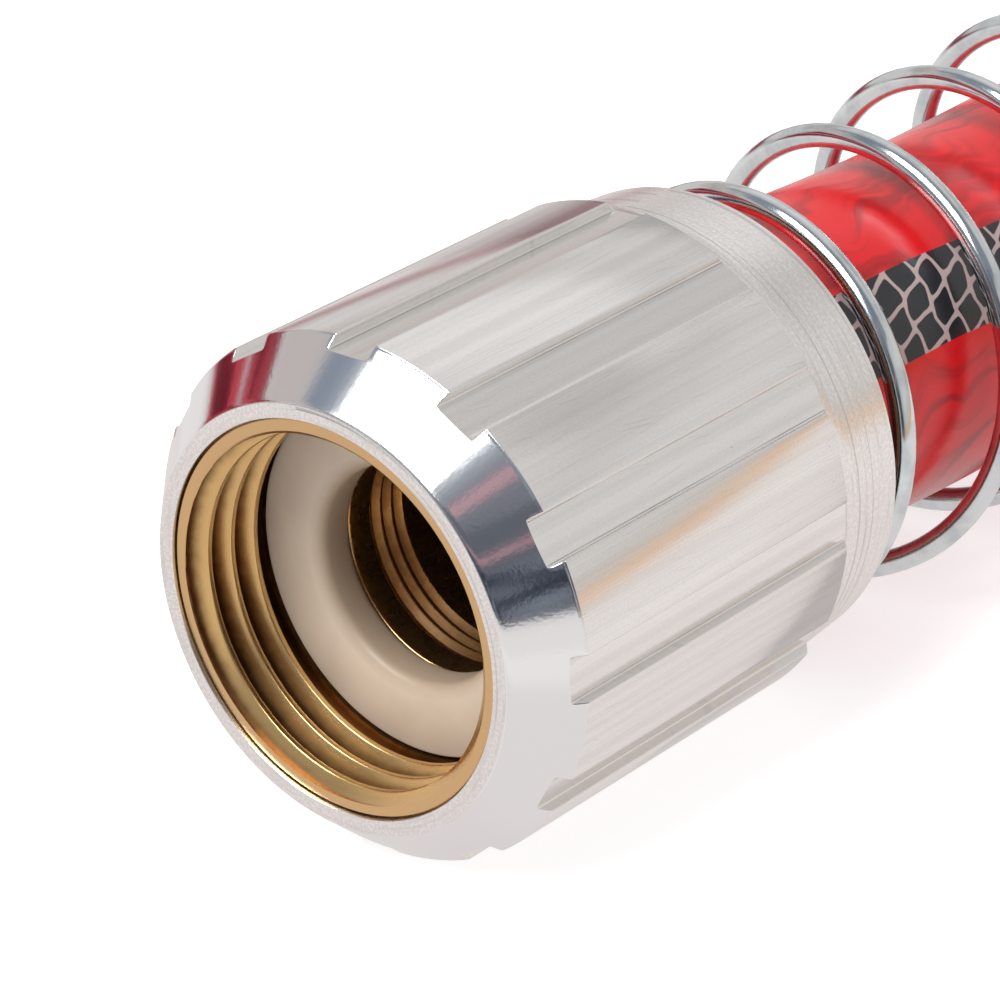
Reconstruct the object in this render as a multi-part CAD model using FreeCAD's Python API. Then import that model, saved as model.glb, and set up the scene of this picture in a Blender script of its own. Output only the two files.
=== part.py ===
"""A water hose lead with a free-turning tap coupling, a spring bend guard and a male far end.

Millimetres. X runs along the tap coupling from its mouth (x = 0) towards the hose, Z is up.
Every piece is written as one STEP file named after its node.
"""
import FreeCAD, Part
import math
import os

V = FreeCAD.Vector
X_AXIS = V(1, 0, 0)
Z_AXIS = V(0, 0, 1)
ORIGIN = V(0, 0, 0)

# ---------------------------------------------------------------- driving dimensions
# Hose thread, 3/4 inch garden hose size, 11.5 turns to the inch
THREAD_PITCH = 25.4 / 11.5
THREAD_DEPTH = 1.32
THREAD_ROOT_FLAT = 0.30
THREAD_SECTORS = 8  # crests are split into eighth turns, so that each stretch of crest is short
NUT_CREST_R = 12.30  # inner crest of the nut's thread
NUT_LEAD_IN = 0.70  # axial length of the cone before the first crest
THREAD_LENGTH = 5.90  # crest wall of the nut, up to the relief groove
THREAD_RELIEF = 0.90  # plain groove behind the nut's thread
SPOUT_RELIEF = 2.30  # plain groove before the spout's collar, long enough for the thread to run out
RELIEF_DEPTH = 0.12  # deeper than the thread's root

# Grip shell, turned and fluted aluminium
SHELL_LENGTH = 38.80
SHELL_WALL = 3.30  # least wall over the nut
SHELL_REAR_WALL = 0.44  # least wall at the rear edge, inside its broken corner
RIM = 1.14  # width of the flat front rim
LIP_LENGTH = 0.90
CHAMFER_LENGTH = 4.00
FLUTE_COUNT = 12
FLUTE_DEG = 10.0
FLUTE_DEPTH = 0.85
FLUTE_PHASE_DEG = -2.5
LAND_END_FROM_REAR = 7.60
LAND_BEVEL = 0.90
BAND_DROP = 0.05  # the rear band lies this far below the flute floors
BAND_TAPER = 0.51  # and narrows this much towards the rear
EDGE = 0.25

# Nut
NUT_WALL = 1.58  # outside the thread's root
NUT_RECESS_FROM_MOUTH = 0.31
NUT_RIM = 0.78  # width of the nut's flat front ring
SPIGOT_GAP = 0.12  # dark ring between the nut's spigot and the shell's lip
NUT_FLANGE = 2.30

# Washer
WASHER_OVER_CREST = 0.50  # the thread's crest holds the washer in
WASHER_HOLE_R = 7.70
WASHER_THICK = 3.20
WASHER_HOLE_ROUND = 0.80

# Hose, its three layers from the inside out
HOSE_BORE_R = 9.50
TUBE_WALL = 1.00
BRAID_WALL = 0.60
COVER_WALL = 1.40

# Stem
STEM_FLANGE_INSET = 0.20  # its flange is this much smaller than the washer
STEM_FLANGE = 2.10
STEM_BORE_R = 8.20
BORE_RING_DEPTH = 0.40
BORE_RING_PITCH = 1.10
BORE_RING_COUNT = 3
BARB_STRETCH = 0.35  # the barbs widen the hose's bore this much
BARB_HEIGHT = 0.65
BARB_PITCH = 3.60
NECK_OVER_SHANK = 0.72
SHANK_SHORT_OF_FERRULE = 1.00

# Ferrule
FERRULE_WALL = 1.30
FERRULE_INSET = 1.69  # its rear end lies this far inside the shell's
FERRULE_LIP = 1.20
CRIMP_COUNT = 3
CRIMP_DEPTH = 0.40
CRIMP_WIDTH = 2.60

# Spring bend guard, wound left-handed
WIRE_R = 0.90
GUARD_FLARE = 0.30  # the open turns are this much wider than those on the ferrule
GUARD_PITCH = 13.10
GUARD_CLOSED_PITCH = 2.40
GUARD_FREE_RUN = 6.60  # from the shell's rear to where turn 0 crosses the top
GUARD_GRIP_TURNS = 3.0  # from turn 0 forward to the front end
GUARD_OPEN_TURNS = 7.0  # from turn 0 back to the closing turn
GUARD_END_TURNS = 1.5
GUARD_SIDE = 0.43  # the open turns lean this far to the side
GUARD_SAG = -1.35  # and drop this far below the coupling's axis, as the hose does there
GUARD_RISE = 1.40  # they come up again this much
GUARD_RISE_RUN = 50.0  # over this length
GUARD_DROOP = -3.10  # and go down with the hose at the free end
GUARD_DROOP_AFTER = 35.0
GUARD_DROOP_RUN = 65.0

# Male end
SPOUT_CREST_R = 13.45
SPOUT_LENGTH = 11.50
SPOUT_CHAMFER = 0.90
COLLAR_PROUD = 2.15  # beyond the spout's crest
COLLAR = 2.50
SLEEVE_WALL = 2.00
SLEEVE_NECK_STEP = 2.08  # the sleeve's neck is this much wider than the stem's
SLEEVE_LENGTH = 31.00

# Tie round the coil
TIE_WIDTH = 16.0
TIE_THICK = 1.2
TIE_TAB = 22.0

# Clearances
RUNNING = 0.08  # radial, nut flange on the stem's neck
END_FLOAT = 0.10  # axial, each side of the stem's flange
PRESSED = 0.05  # radial, pieces that are pressed or crimped together
LOOSE = 0.30  # radial, pieces that lie beside each other
GUARD_CLEARANCE = 0.35  # radial, the gripping turns inside the shell
FERRULE_CLEARANCE = 1.50  # axial, behind the nut

# Put-away coil
COIL_MID_R = 129.0
COIL_TURNS = 2.5
COIL_STEP = 26.0  # from one turn to the next, sideways
COIL_LAYER = 26.0  # from one layer to the next, upwards

# ---------------------------------------------------------------- radii that follow, from the inside out
HOSE_WALL = TUBE_WALL + BRAID_WALL + COVER_WALL
HOSE_R = HOSE_BORE_R + HOSE_WALL
END_RUN = 2 * HOSE_R  # straight run at each end of the coil
BARB_R = HOSE_BORE_R + BARB_STRETCH
SHANK_R = BARB_R - BARB_HEIGHT
NECK_R = SHANK_R + NECK_OVER_SHANK
NUT_FLANGE_BORE_R = NECK_R + RUNNING
FERRULE_BORE_R = BARB_R + PRESSED + HOSE_WALL
FERRULE_R = FERRULE_BORE_R + FERRULE_WALL
GRIP_R = FERRULE_R + PRESSED + WIRE_R
GUARD_R = GRIP_R + GUARD_FLARE
SHELL_REAR_R = GRIP_R + WIRE_R + GUARD_CLEARANCE

WASHER_R = NUT_CREST_R + WASHER_OVER_CREST
RECESS_R = WASHER_R + LOOSE
STEM_FLANGE_R = WASHER_R - STEM_FLANGE_INSET
THREAD_ROOT_R = NUT_CREST_R + THREAD_DEPTH
NUT_R = THREAD_ROOT_R + NUT_WALL
SPIGOT_R = NUT_CREST_R + NUT_LEAD_IN + NUT_RIM
LIP_R = SPIGOT_R + SPIGOT_GAP
RIM_R = LIP_R + RIM

# The shell is as wide as the nut at its front and the spring at its rear need
FLUTE_TO_REAR_EDGE = FLUTE_DEPTH + BAND_DROP + BAND_TAPER + EDGE
LAND_R = max(NUT_R + SHELL_WALL, SHELL_REAR_R + SHELL_REAR_WALL + FLUTE_TO_REAR_EDGE)
FLUTE_FLOOR_R = LAND_R - FLUTE_DEPTH
BAND_R = FLUTE_FLOOR_R - BAND_DROP

SPOUT_ROOT_R = SPOUT_CREST_R - THREAD_DEPTH
COLLAR_R = SPOUT_CREST_R + COLLAR_PROUD
SLEEVE_NECK_R = NECK_R + SLEEVE_NECK_STEP

# ---------------------------------------------------------------- places that follow
NUT_FRONT_X = NUT_RECESS_FROM_MOUTH
CREST_START_X = NUT_FRONT_X + NUT_LEAD_IN
CREST_END_X = CREST_START_X + THREAD_LENGTH
WASHER_FRONT_X = CREST_END_X + THREAD_RELIEF
WASHER_BACK_X = WASHER_FRONT_X + WASHER_THICK
STEM_FRONT_X = WASHER_BACK_X + END_FLOAT
STEM_NECK_X = STEM_FRONT_X + STEM_FLANGE
NUT_SEAT_X = STEM_NECK_X + END_FLOAT
NUT_REAR_X = NUT_SEAT_X + NUT_FLANGE
FERRULE_X = NUT_REAR_X + FERRULE_CLEARANCE
HOSE_START_X = FERRULE_X + FERRULE_LIP
HOSE_EXIT_X = SHELL_LENGTH - FERRULE_INSET
GUARD_TOP_X = SHELL_LENGTH + GUARD_FREE_RUN
FLOOR_Z = -LAND_R * math.cos(math.radians(FLUTE_DEG / 2 + FLUTE_PHASE_DEG))

# Route of the hose from the ferrule to the coil, chosen by hand
LAID_Z = FLOOR_Z + TIE_THICK + LOOSE + HOSE_R
LEAD = [
    V(HOSE_EXIT_X, 0, 0),
    V(47, 0, 0),
    V(67, 0, -1.4),
    V(92, 0, -1.0),
    V(140, -0.3, -2.9),
    V(187, -1.2, LAID_Z),
    V(215, -1.2, LAID_Z),
]
# Route from the coil down to the male end, as steps from the coil's end back towards the tap
TAIL_DROP = LAID_Z + COIL_LAYER
TAIL_STEPS = [(0, 0.0), (28, 0.0), (64, 0.26), (100, 0.71), (134, 1.0), (162, 1.0)]


# ---------------------------------------------------------------- small helpers
def polygon(points):
    """A closed wire through (x, r) points in the XZ half plane."""
    corners = [V(x, 0, r) for x, r in points]
    return Part.makePolygon(corners + corners[:1])


def turned(points, sectors=1):
    """The solid that an (x, r) outline sweeps round the X axis, its round faces split into sectors."""
    step = 360 / sectors
    first = Part.Face(polygon(points)).revolve(ORIGIN, X_AXIS, step)
    rest = []
    for i in range(1, sectors):
        sector = first.copy()
        sector.rotate(ORIGIN, X_AXIS, i * step)
        rest.append(sector)
    return first.fuse(rest) if rest else first


def helical_cutter(start_x, length, inner_r, outer_r, inner_half, outer_half):
    """A right-handed ridge along the X axis, as wide as stated at its inner and outer radius."""
    helix = []
    for i in range(math.ceil(length / THREAD_PITCH)):
        rise = min(THREAD_PITCH, length - i * THREAD_PITCH)
        helix.append(Part.makeHelix(THREAD_PITCH, rise, inner_r))
        helix[-1].translate(Z_AXIS * (i * THREAD_PITCH))
    profile = Part.makePolygon(
        [
            V(inner_r, 0, -inner_half),
            V(outer_r, 0, -outer_half),
            V(outer_r, 0, outer_half),
            V(inner_r, 0, inner_half),
            V(inner_r, 0, -inner_half),
        ]
    )
    ridge = Part.Wire(helix).makePipeShell([profile], True, True)
    ridge.rotate(ORIGIN, V(0, 1, 0), 90)
    ridge.translate(V(start_x, 0, 0))
    return ridge


def smooth(value):
    """0 before 0, 1 after 1, and an S curve between them."""
    t = min(max(value, 0.0), 1.0)
    return t * t * (3 - 2 * t)


def arc_edge(start, apex, end):
    """The arc that touches start-apex at start and apex-end at end, whose two legs are equal."""
    weight = (end - start).Length / 2 / (apex - start).Length
    middle = (start + end + apex * (2 * weight)) * (1 / (2 + 2 * weight))
    return Part.Arc(start, middle, end).toShape()


def biarc(p0, t0, p1, t1):
    """Two arcs that leave p0 along t0, join smoothly and reach p1 along t1."""
    span = p1 - p0
    both = t0 + t1
    spread = 2 * (1 - t0.dot(t1))
    along = span.dot(both)
    leg = (-along + math.sqrt(along * along + spread * span.dot(span))) / spread
    joint = (p0 + p1 + (t0 - t1) * leg) * 0.5
    return [arc_edge(p0, p0 + t0 * leg, joint), arc_edge(joint, p1 - t1 * leg, p1)]


def direction(curve, t):
    """The unit tangent of a curve given as a function of one number."""
    step = 1e-4
    ahead = curve(t + step) - curve(t - step)
    return ahead.normalize()


def wound_wire(curve, start, end, run):
    """Biarcs of a quarter turn along a curve whose number counts turns, with a straight run at each end."""
    steps = round((end - start) * 4)
    marks = [start + (end - start) * i / steps for i in range(steps + 1)]
    places = [curve(t) for t in marks]
    ways = [direction(curve, t) for t in marks]
    edges = [Part.makeLine(places[0] - ways[0] * run, places[0])]
    for i in range(steps):
        edges += biarc(places[i], ways[i], places[i + 1], ways[i + 1])
    edges.append(Part.makeLine(places[-1], places[-1] + ways[-1] * run))
    return Part.Wire(edges)


def run_wire(name, route):
    """Straight runs joined by the largest tangent arcs that the runs allow."""
    edges = []
    radii = []
    at = route[0]
    for before, corner, after in zip(route, route[1:], route[2:]):
        leg_in = corner - before
        leg_out = after - corner
        leg = 0.45 * min(leg_in.Length, leg_out.Length)
        turn = leg_in.getAngle(leg_out)
        radii.append(leg / math.tan(turn / 2))
        enter = corner - V(leg_in).normalize() * leg
        leave = corner + V(leg_out).normalize() * leg
        edges.append(Part.makeLine(at, enter))
        edges.append(arc_edge(enter, corner, leave))
        at = leave
    edges.append(Part.makeLine(at, route[-1]))
    print(name, "arc radii mm", [round(r) for r in radii])
    return Part.Wire(edges)


def tube(name, wire, outer_r, inner_r=0.0):
    """A round tube along a wire, its volume compared with section times length."""
    first = wire.Edges[0]
    start = first.valueAt(first.FirstParameter)
    way = first.tangentAt(first.FirstParameter)

    def sweep(radius):
        ring = Part.Wire(Part.makeCircle(radius, start, way))
        return wire.makePipeShell([ring], True, False)

    solid = sweep(outer_r)
    if inner_r:
        solid = solid.cut(sweep(inner_r))
    solid = solid.Solids[0]
    expected = math.pi * (outer_r**2 - inner_r**2) * wire.Length
    print(f"{name}: length {wire.Length:.1f} mm, volume / (section x length) {solid.Volume / expected:.5f}")
    return solid


def least_gap(name, curve, start, end, diameter):
    """The least gap of a wound tube to itself, measured on points a twentieth of a turn apart."""
    count = round((end - start) * 20)
    points = [curve(start + (end - start) * i / count) for i in range(count + 1)]
    gap = min(
        (points[i] - points[j]).Length
        for i in range(count + 1)
        for j in range(i + 10, count + 1)
    )
    print(f"{name}: least gap to itself {gap - diameter:.2f} mm")


# ---------------------------------------------------------------- fluted outside
def fluted(points, length):
    """A turned solid with the flat-floored flutes cut along its first stretch."""
    body = turned(points)
    half = LAND_R * math.tan(math.radians(FLUTE_DEG / 2))
    cutters = []
    for i in range(FLUTE_COUNT):
        cutter = Part.makeBox(length + 1, 2 * half, LAND_R, V(-1, -half, FLUTE_FLOOR_R))
        cutter.rotate(ORIGIN, X_AXIS, i * 360 / FLUTE_COUNT + FLUTE_PHASE_DEG)
        cutters.append(cutter)
    return body.cut(cutters)


def grip_outline(length, bore):
    """The outside of a grip from its rim to its rear edge, then the bore points that close it."""
    land_end = length - LAND_END_FROM_REAR
    return [
        (0, RIM_R),
        (CHAMFER_LENGTH, LAND_R),
        (land_end, LAND_R),
        (land_end + LAND_BEVEL, BAND_R),
        (length - EDGE, BAND_R - BAND_TAPER),
        (length, BAND_R - BAND_TAPER - EDGE),
    ] + bore


# ---------------------------------------------------------------- tap coupling, turns on the stem
def grip_shell():
    bore = [
        (SHELL_LENGTH, SHELL_REAR_R),
        (NUT_REAR_X, SHELL_REAR_R),
        (NUT_REAR_X, NUT_R),
        (LIP_LENGTH, NUT_R),
        (LIP_LENGTH, LIP_R),
        (0, LIP_R),
    ]
    return fluted(grip_outline(SHELL_LENGTH, bore), SHELL_LENGTH - LAND_END_FROM_REAR + LAND_BEVEL)


def swivel_nut():
    body_r = NUT_R - PRESSED
    body = turned(
        [
            (NUT_FRONT_X, SPIGOT_R),
            (LIP_LENGTH, SPIGOT_R),
            (LIP_LENGTH, body_r),
            (NUT_REAR_X, body_r),
            (NUT_REAR_X, NUT_FLANGE_BORE_R),
            (NUT_SEAT_X, NUT_FLANGE_BORE_R),
            (NUT_SEAT_X, RECESS_R),
            (WASHER_FRONT_X, RECESS_R),
            (WASHER_FRONT_X, THREAD_ROOT_R + RELIEF_DEPTH),
            (CREST_END_X, THREAD_ROOT_R + RELIEF_DEPTH),
            (CREST_END_X, NUT_CREST_R),
            (CREST_START_X, NUT_CREST_R),
            (NUT_FRONT_X, SPIGOT_R - NUT_RIM),
        ],
        THREAD_SECTORS,
    )
    foot = THREAD_ROOT_FLAT / 2
    slope = math.tan(math.radians(30))
    inner_r = NUT_CREST_R - foot
    mouth = foot + (THREAD_ROOT_R - inner_r) * slope
    start_x = NUT_FRONT_X - THREAD_PITCH
    groove = helical_cutter(
        start_x, CREST_END_X + foot - start_x, inner_r, THREAD_ROOT_R, mouth, foot
    )
    return body.cut(groove)


def hose_washer():
    body = turned(
        [
            (WASHER_FRONT_X, WASHER_HOLE_R),
            (WASHER_FRONT_X, WASHER_R),
            (WASHER_BACK_X, WASHER_R),
            (WASHER_BACK_X, WASHER_HOLE_R),
        ]
    )
    rims = [e for e in body.Edges if len(e.Vertexes) == 1 and abs(e.Curve.Radius - WASHER_HOLE_R) < 0.01]
    return body.makeFillet(WASHER_HOLE_ROUND, rims)


# ---------------------------------------------------------------- hose ends, the same at both couplings
def shank_outline(from_x, end_x):
    """Barbs along the shank, from its front to its tail, as (x, r) points."""
    points = [(from_x, SHANK_R)]
    x = from_x + BARB_PITCH
    while x < end_x - BARB_PITCH / 2:
        points += [(x, BARB_R), (x, SHANK_R)]
        x += BARB_PITCH
    return points + [(end_x, SHANK_R)]


def bore_rings(from_x):
    """Shallow rings in the stem's bore, listed from the tail towards the mouth."""
    points = []
    for i in reversed(range(BORE_RING_COUNT)):
        x = from_x + i * BORE_RING_PITCH
        points += [
            (x + BORE_RING_PITCH, STEM_BORE_R),
            (x + BORE_RING_PITCH / 2, STEM_BORE_R + BORE_RING_DEPTH),
        ]
    return points + [(from_x, STEM_BORE_R)]


def tail_stem():
    tail_x = HOSE_EXIT_X - SHANK_SHORT_OF_FERRULE
    return turned(
        [(STEM_FRONT_X, STEM_FLANGE_R), (STEM_NECK_X, STEM_FLANGE_R)]
        + [(STEM_NECK_X, NECK_R), (FERRULE_X, NECK_R)]
        + shank_outline(FERRULE_X, tail_x)
        + [(tail_x, STEM_BORE_R)]
        + bore_rings(STEM_NECK_X)
        + [(STEM_FRONT_X, STEM_BORE_R)]
    )


def crimped(radius):
    """(x, r) points along the ferrule that dip at each crimp."""
    room = (HOSE_EXIT_X - HOSE_START_X) / CRIMP_COUNT
    points = []
    for i in range(CRIMP_COUNT):
        middle = HOSE_START_X + (i + 0.5) * room
        half = CRIMP_WIDTH / 2
        points += [
            (middle - half, radius),
            (middle - half + CRIMP_DEPTH, radius - CRIMP_DEPTH),
            (middle + half - CRIMP_DEPTH, radius - CRIMP_DEPTH),
            (middle + half, radius),
        ]
    return points


def crimp_ferrule():
    inside = [(HOSE_START_X, FERRULE_BORE_R)] + crimped(FERRULE_BORE_R) + [(HOSE_EXIT_X, FERRULE_BORE_R)]
    return turned(
        [(FERRULE_X, FERRULE_R)]
        + crimped(FERRULE_R)
        + [(HOSE_EXIT_X, FERRULE_R)]
        + inside[::-1]
        + [(HOSE_START_X, SHANK_R + LOOSE), (FERRULE_X, SHANK_R + LOOSE)]
    )


def hose_layers():
    """The hose's tube, braid and cover inside the ferrule, as three sleeves on the barbs."""
    bore_r = BARB_R + PRESSED
    outer_r = FERRULE_BORE_R - PRESSED
    start_x = HOSE_START_X + PRESSED
    deepest = outer_r - CRIMP_DEPTH
    tube_r = bore_r + TUBE_WALL
    braid_r = tube_r + BRAID_WALL
    assert deepest > braid_r

    def sleeve(inner_r, outside):
        return turned([(start_x, inner_r)] + outside + [(HOSE_EXIT_X, inner_r)])

    def plain(radius):
        return [(start_x, radius), (HOSE_EXIT_X, radius)]

    waisted = [(start_x, outer_r)] + crimped(outer_r) + [(HOSE_EXIT_X, outer_r)]
    return {
        "tube": sleeve(bore_r, plain(tube_r)),
        "braid": sleeve(tube_r, plain(braid_r)),
        "cover": sleeve(braid_r, waisted),
    }


# ---------------------------------------------------------------- spring bend guard
def guard_advance(turns, ramp=0.5):
    """How far the wire moves along X in this many turns while the pitch closes over the ramp."""
    t = min(turns, ramp)
    closing = GUARD_PITCH * t - (GUARD_PITCH - GUARD_CLOSED_PITCH) * t * t / (2 * ramp)
    return closing + GUARD_CLOSED_PITCH * max(turns - ramp, 0)


def guard_x(turn):
    first = -0.5
    if turn < first:
        return GUARD_TOP_X + GUARD_PITCH * first - guard_advance(first - turn)
    if turn > GUARD_OPEN_TURNS:
        return GUARD_TOP_X + GUARD_PITCH * GUARD_OPEN_TURNS + guard_advance(turn - GUARD_OPEN_TURNS)
    return GUARD_TOP_X + GUARD_PITCH * turn


def guard_curve(turn):
    """The wire's centre: it leaves the ferrule, widens behind the shell and hangs with the hose."""
    x = guard_x(turn)
    free = smooth((x - SHELL_LENGTH) / (GUARD_TOP_X - SHELL_LENGTH))
    rise = smooth((x - GUARD_TOP_X) / GUARD_RISE_RUN)
    droop = smooth((x - GUARD_TOP_X - GUARD_DROOP_AFTER) / GUARD_DROOP_RUN)
    radius = GRIP_R + (GUARD_R - GRIP_R) * free
    angle = 2 * math.pi * turn
    y = GUARD_SIDE * free + radius * math.sin(angle)
    z = GUARD_SAG * free + GUARD_RISE * rise + GUARD_DROOP * droop + radius * math.cos(angle)
    return V(x, y, z)


def spring_guard():
    start = -GUARD_GRIP_TURNS
    end = GUARD_OPEN_TURNS + GUARD_END_TURNS
    least_gap("spring_guard", guard_curve, start, end, 2 * WIRE_R)
    return tube("spring_guard", wound_wire(guard_curve, start, end, 2 * WIRE_R), WIRE_R)


# ---------------------------------------------------------------- put-away coil
class Coil:
    """Two layers of loops that spiral in and out again, set so that they carry on from the lead."""

    def __init__(self, lead_end, heading):
        self.outer_r = COIL_MID_R + COIL_STEP * COIL_TURNS / 4
        self.inward = math.atan(COIL_STEP / (2 * math.pi * self.outer_r))
        self.turns = COIL_TURNS + 2 * self.inward / (2 * math.pi)
        self.first_deg = math.atan2(heading.y, heading.x) + math.pi / 2 + self.inward
        start = lead_end + heading * END_RUN
        spoke = V(math.cos(self.first_deg), math.sin(self.first_deg), 0)
        self.centre = start - spoke * self.outer_r

    def curve(self, turn):
        half = self.turns / 2
        radius = self.outer_r - COIL_STEP * (half - abs(turn - half))
        angle = self.first_deg - 2 * math.pi * turn
        rise = COIL_LAYER * smooth((turn - half) / 0.5 + 0.5)
        return self.centre + V(radius * math.cos(angle), radius * math.sin(angle), rise)


def coil_tie(coil):
    """A strap round the two layers, where they lie one on the other, with the tab of its free end."""
    turn = coil.turns / 2 - 0.5
    low = coil.curve(turn)
    high = coil.curve(turn + 1)
    way = (direction(coil.curve, turn) + direction(coil.curve, turn + 1)).normalize()
    across = way.cross(Z_AXIS)
    half = TIE_WIDTH / 2
    bow = half**2 / (2 * coil.outer_r - COIL_TURNS * COIL_STEP)
    spare = bow + half * math.tan(coil.inward)  # sideways, for the turns' bend and spiral

    def strap_outline(radius):
        """A rectangle round both turns whose corners are quarter circles of this radius."""
        corners = [(low, 1, -1), (high, 1, 1), (high, -1, 1), (low, -1, -1)]
        points = []
        for centre, side, up in corners:
            at = centre + across * (spare * side)
            out = across * (radius * side)
            rise = Z_AXIS * (radius * up)
            middle = (out + rise) * math.sqrt(0.5)
            ends = [at + rise, at + out] if side * up < 0 else [at + out, at + rise]
            points.append((ends[0], at + middle, ends[1]))
        edges = []
        for before, corner in zip(points[-1:] + points[:-1], points):
            edges.append(Part.makeLine(before[2], corner[0]))
            edges.append(Part.Arc(*corner).toShape())
        face = Part.Face(Part.Wire(edges))
        face.translate(way * -half)
        return face.extrude(way * TIE_WIDTH)

    inner_r = HOSE_R + LOOSE
    band = strap_outline(inner_r + TIE_THICK).cut(strap_outline(inner_r))
    tab = Part.makeBox(TIE_THICK, TIE_WIDTH, TIE_TAB)
    tab.translate(V(spare + inner_r + TIE_THICK, -half, 0))
    tab.rotate(ORIGIN, Z_AXIS, math.degrees(math.atan2(across.y, across.x)))
    tab.translate((low + high) * 0.5 - Z_AXIS * (TIE_TAB / 2))
    return band.fuse(tab).removeSplitter()


# ---------------------------------------------------------------- male end, drawn at the origin
def male_stem():
    """Spout with its outside thread, collar, neck for the sleeve and barbed shank."""
    collar_x = SPOUT_LENGTH
    crest_end = collar_x - SPOUT_RELIEF
    sleeve_x = collar_x + COLLAR
    neck_end = sleeve_x + SLEEVE_WALL
    tail_x = HOSE_EXIT_X - SHANK_SHORT_OF_FERRULE
    relief_r = SPOUT_ROOT_R - RELIEF_DEPTH
    body = turned(
        [
            (0, SPOUT_CREST_R - SPOUT_CHAMFER),
            (SPOUT_CHAMFER, SPOUT_CREST_R),
            (crest_end, SPOUT_CREST_R),
            (crest_end, relief_r),
            (collar_x, relief_r),
            (collar_x, COLLAR_R),
            (sleeve_x, COLLAR_R),
            (sleeve_x, SLEEVE_NECK_R),
            (neck_end, SLEEVE_NECK_R),
            (neck_end, NECK_R),
            (FERRULE_X, NECK_R),
        ]
        + shank_outline(FERRULE_X, tail_x)
        + [(tail_x, STEM_BORE_R), (0, STEM_BORE_R)]
    )
    crest = [(SPOUT_CHAMFER, SPOUT_CREST_R), (crest_end, SPOUT_CREST_R)]
    crest += [(crest_end, relief_r), (SPOUT_CHAMFER, relief_r)]
    body = body.fuse(turned(crest, THREAD_SECTORS))
    foot = THREAD_ROOT_FLAT / 2
    slope = math.tan(math.radians(30))
    outer_r = SPOUT_CREST_R + foot
    mouth = foot + (outer_r - SPOUT_ROOT_R) * slope
    run_out = THREAD_PITCH + collar_x - mouth - LOOSE
    groove = helical_cutter(-THREAD_PITCH, run_out, SPOUT_ROOT_R, outer_r, foot, mouth)
    return body.cut(groove)


def male_sleeve():
    """The fluted grip that is pressed over the far ferrule, behind the spout's collar."""
    bore = [
        (SLEEVE_LENGTH, FERRULE_R + PRESSED),
        (SLEEVE_WALL, FERRULE_R + PRESSED),
        (SLEEVE_WALL, SLEEVE_NECK_R + PRESSED),
        (0, SLEEVE_NECK_R + PRESSED),
    ]
    land_end = SLEEVE_LENGTH - LAND_END_FROM_REAR
    sleeve = fluted(grip_outline(SLEEVE_LENGTH, bore), land_end + LAND_BEVEL)
    sleeve.translate(V(SPOUT_LENGTH + COLLAR, 0, 0))
    return sleeve


# ---------------------------------------------------------------- assembly
def build():
    heading = (LEAD[-1] - LEAD[-2]).normalize()
    coil = Coil(LEAD[-1], heading)
    coil_end = coil.curve(coil.turns)
    back = direction(coil.curve, coil.turns)
    tail_start = coil_end + back * END_RUN
    tail = [tail_start + back * s - Z_AXIS * (TAIL_DROP * drop) for s, drop in TAIL_STEPS]
    tail[-1].z = 0.0
    tail[-2].z = 0.0
    turn_deg = math.degrees(math.atan2(-back.y, -back.x))

    def at_far_end(shape):
        placed = shape.copy()
        placed.rotate(ORIGIN, Z_AXIS, turn_deg)
        tip = tail[-1] + back * HOSE_EXIT_X
        placed.translate(tip)
        return placed

    nodes = {
        "grip_shell": grip_shell(),
        "swivel_nut": swivel_nut(),
        "hose_washer": hose_washer(),
        "tail_stem": tail_stem(),
        "crimp_ferrule": crimp_ferrule(),
        "spring_guard": spring_guard(),
    }
    for layer, shape in hose_layers().items():
        nodes[f"hose_{layer}_near"] = shape
        nodes[f"hose_{layer}_far"] = at_far_end(shape)
    nodes["hose_lead"] = tube("hose_lead", run_wire("hose_lead", LEAD), HOSE_R, HOSE_BORE_R)
    coil_wire = wound_wire(coil.curve, 0, coil.turns, END_RUN)
    least_gap("hose_coil", coil.curve, 0, coil.turns, 2 * HOSE_R)
    nodes["hose_coil"] = tube("hose_coil", coil_wire, HOSE_R, HOSE_BORE_R)
    nodes["hose_tail"] = tube("hose_tail", run_wire("hose_tail", tail), HOSE_R, HOSE_BORE_R)
    nodes["coil_tie"] = coil_tie(coil)
    nodes["male_stem"] = at_far_end(male_stem())
    nodes["male_ferrule"] = at_far_end(crimp_ferrule())
    nodes["male_sleeve"] = at_far_end(male_sleeve())
    tip = tail[-1] + back * HOSE_EXIT_X
    print("coil centre", coil.centre, "outer_r", coil.outer_r, "turns", coil.turns)
    print("male tip", tip, "angle", turn_deg, "floor z", FLOOR_Z, "laid z", LAID_Z)
    return nodes


os.makedirs("parts", exist_ok=True)
for node, shape in build().items():
    solids = shape.Solids
    assert len(solids) == 1 and solids[0].isValid(), node
    solids[0].exportStep(f"parts/{node}.step")
    box = solids[0].BoundBox
    print(f"{node}: volume {solids[0].Volume:.1f} mm3, x {box.XMin:.2f} to {box.XMax:.2f}")
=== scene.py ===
# %% [markdown]
# # A water hose with a tap coupling, dressed in Blender
#
# The object is a rubber water hose of about 2.4 m. Its near end carries a tap coupling: a brass nut with
# an inside thread turns freely on the stem, pressed into a fluted aluminium grip, and an open spring keeps
# the hose from kinking behind it. The far end has the usual male spout. The sizes and the bodies that
# move come from the CAD model in model.glb, so this lesson only gives the pieces their finished
# surfaces. We start by loading that model.

# %% Load the imported model
import math

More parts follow.
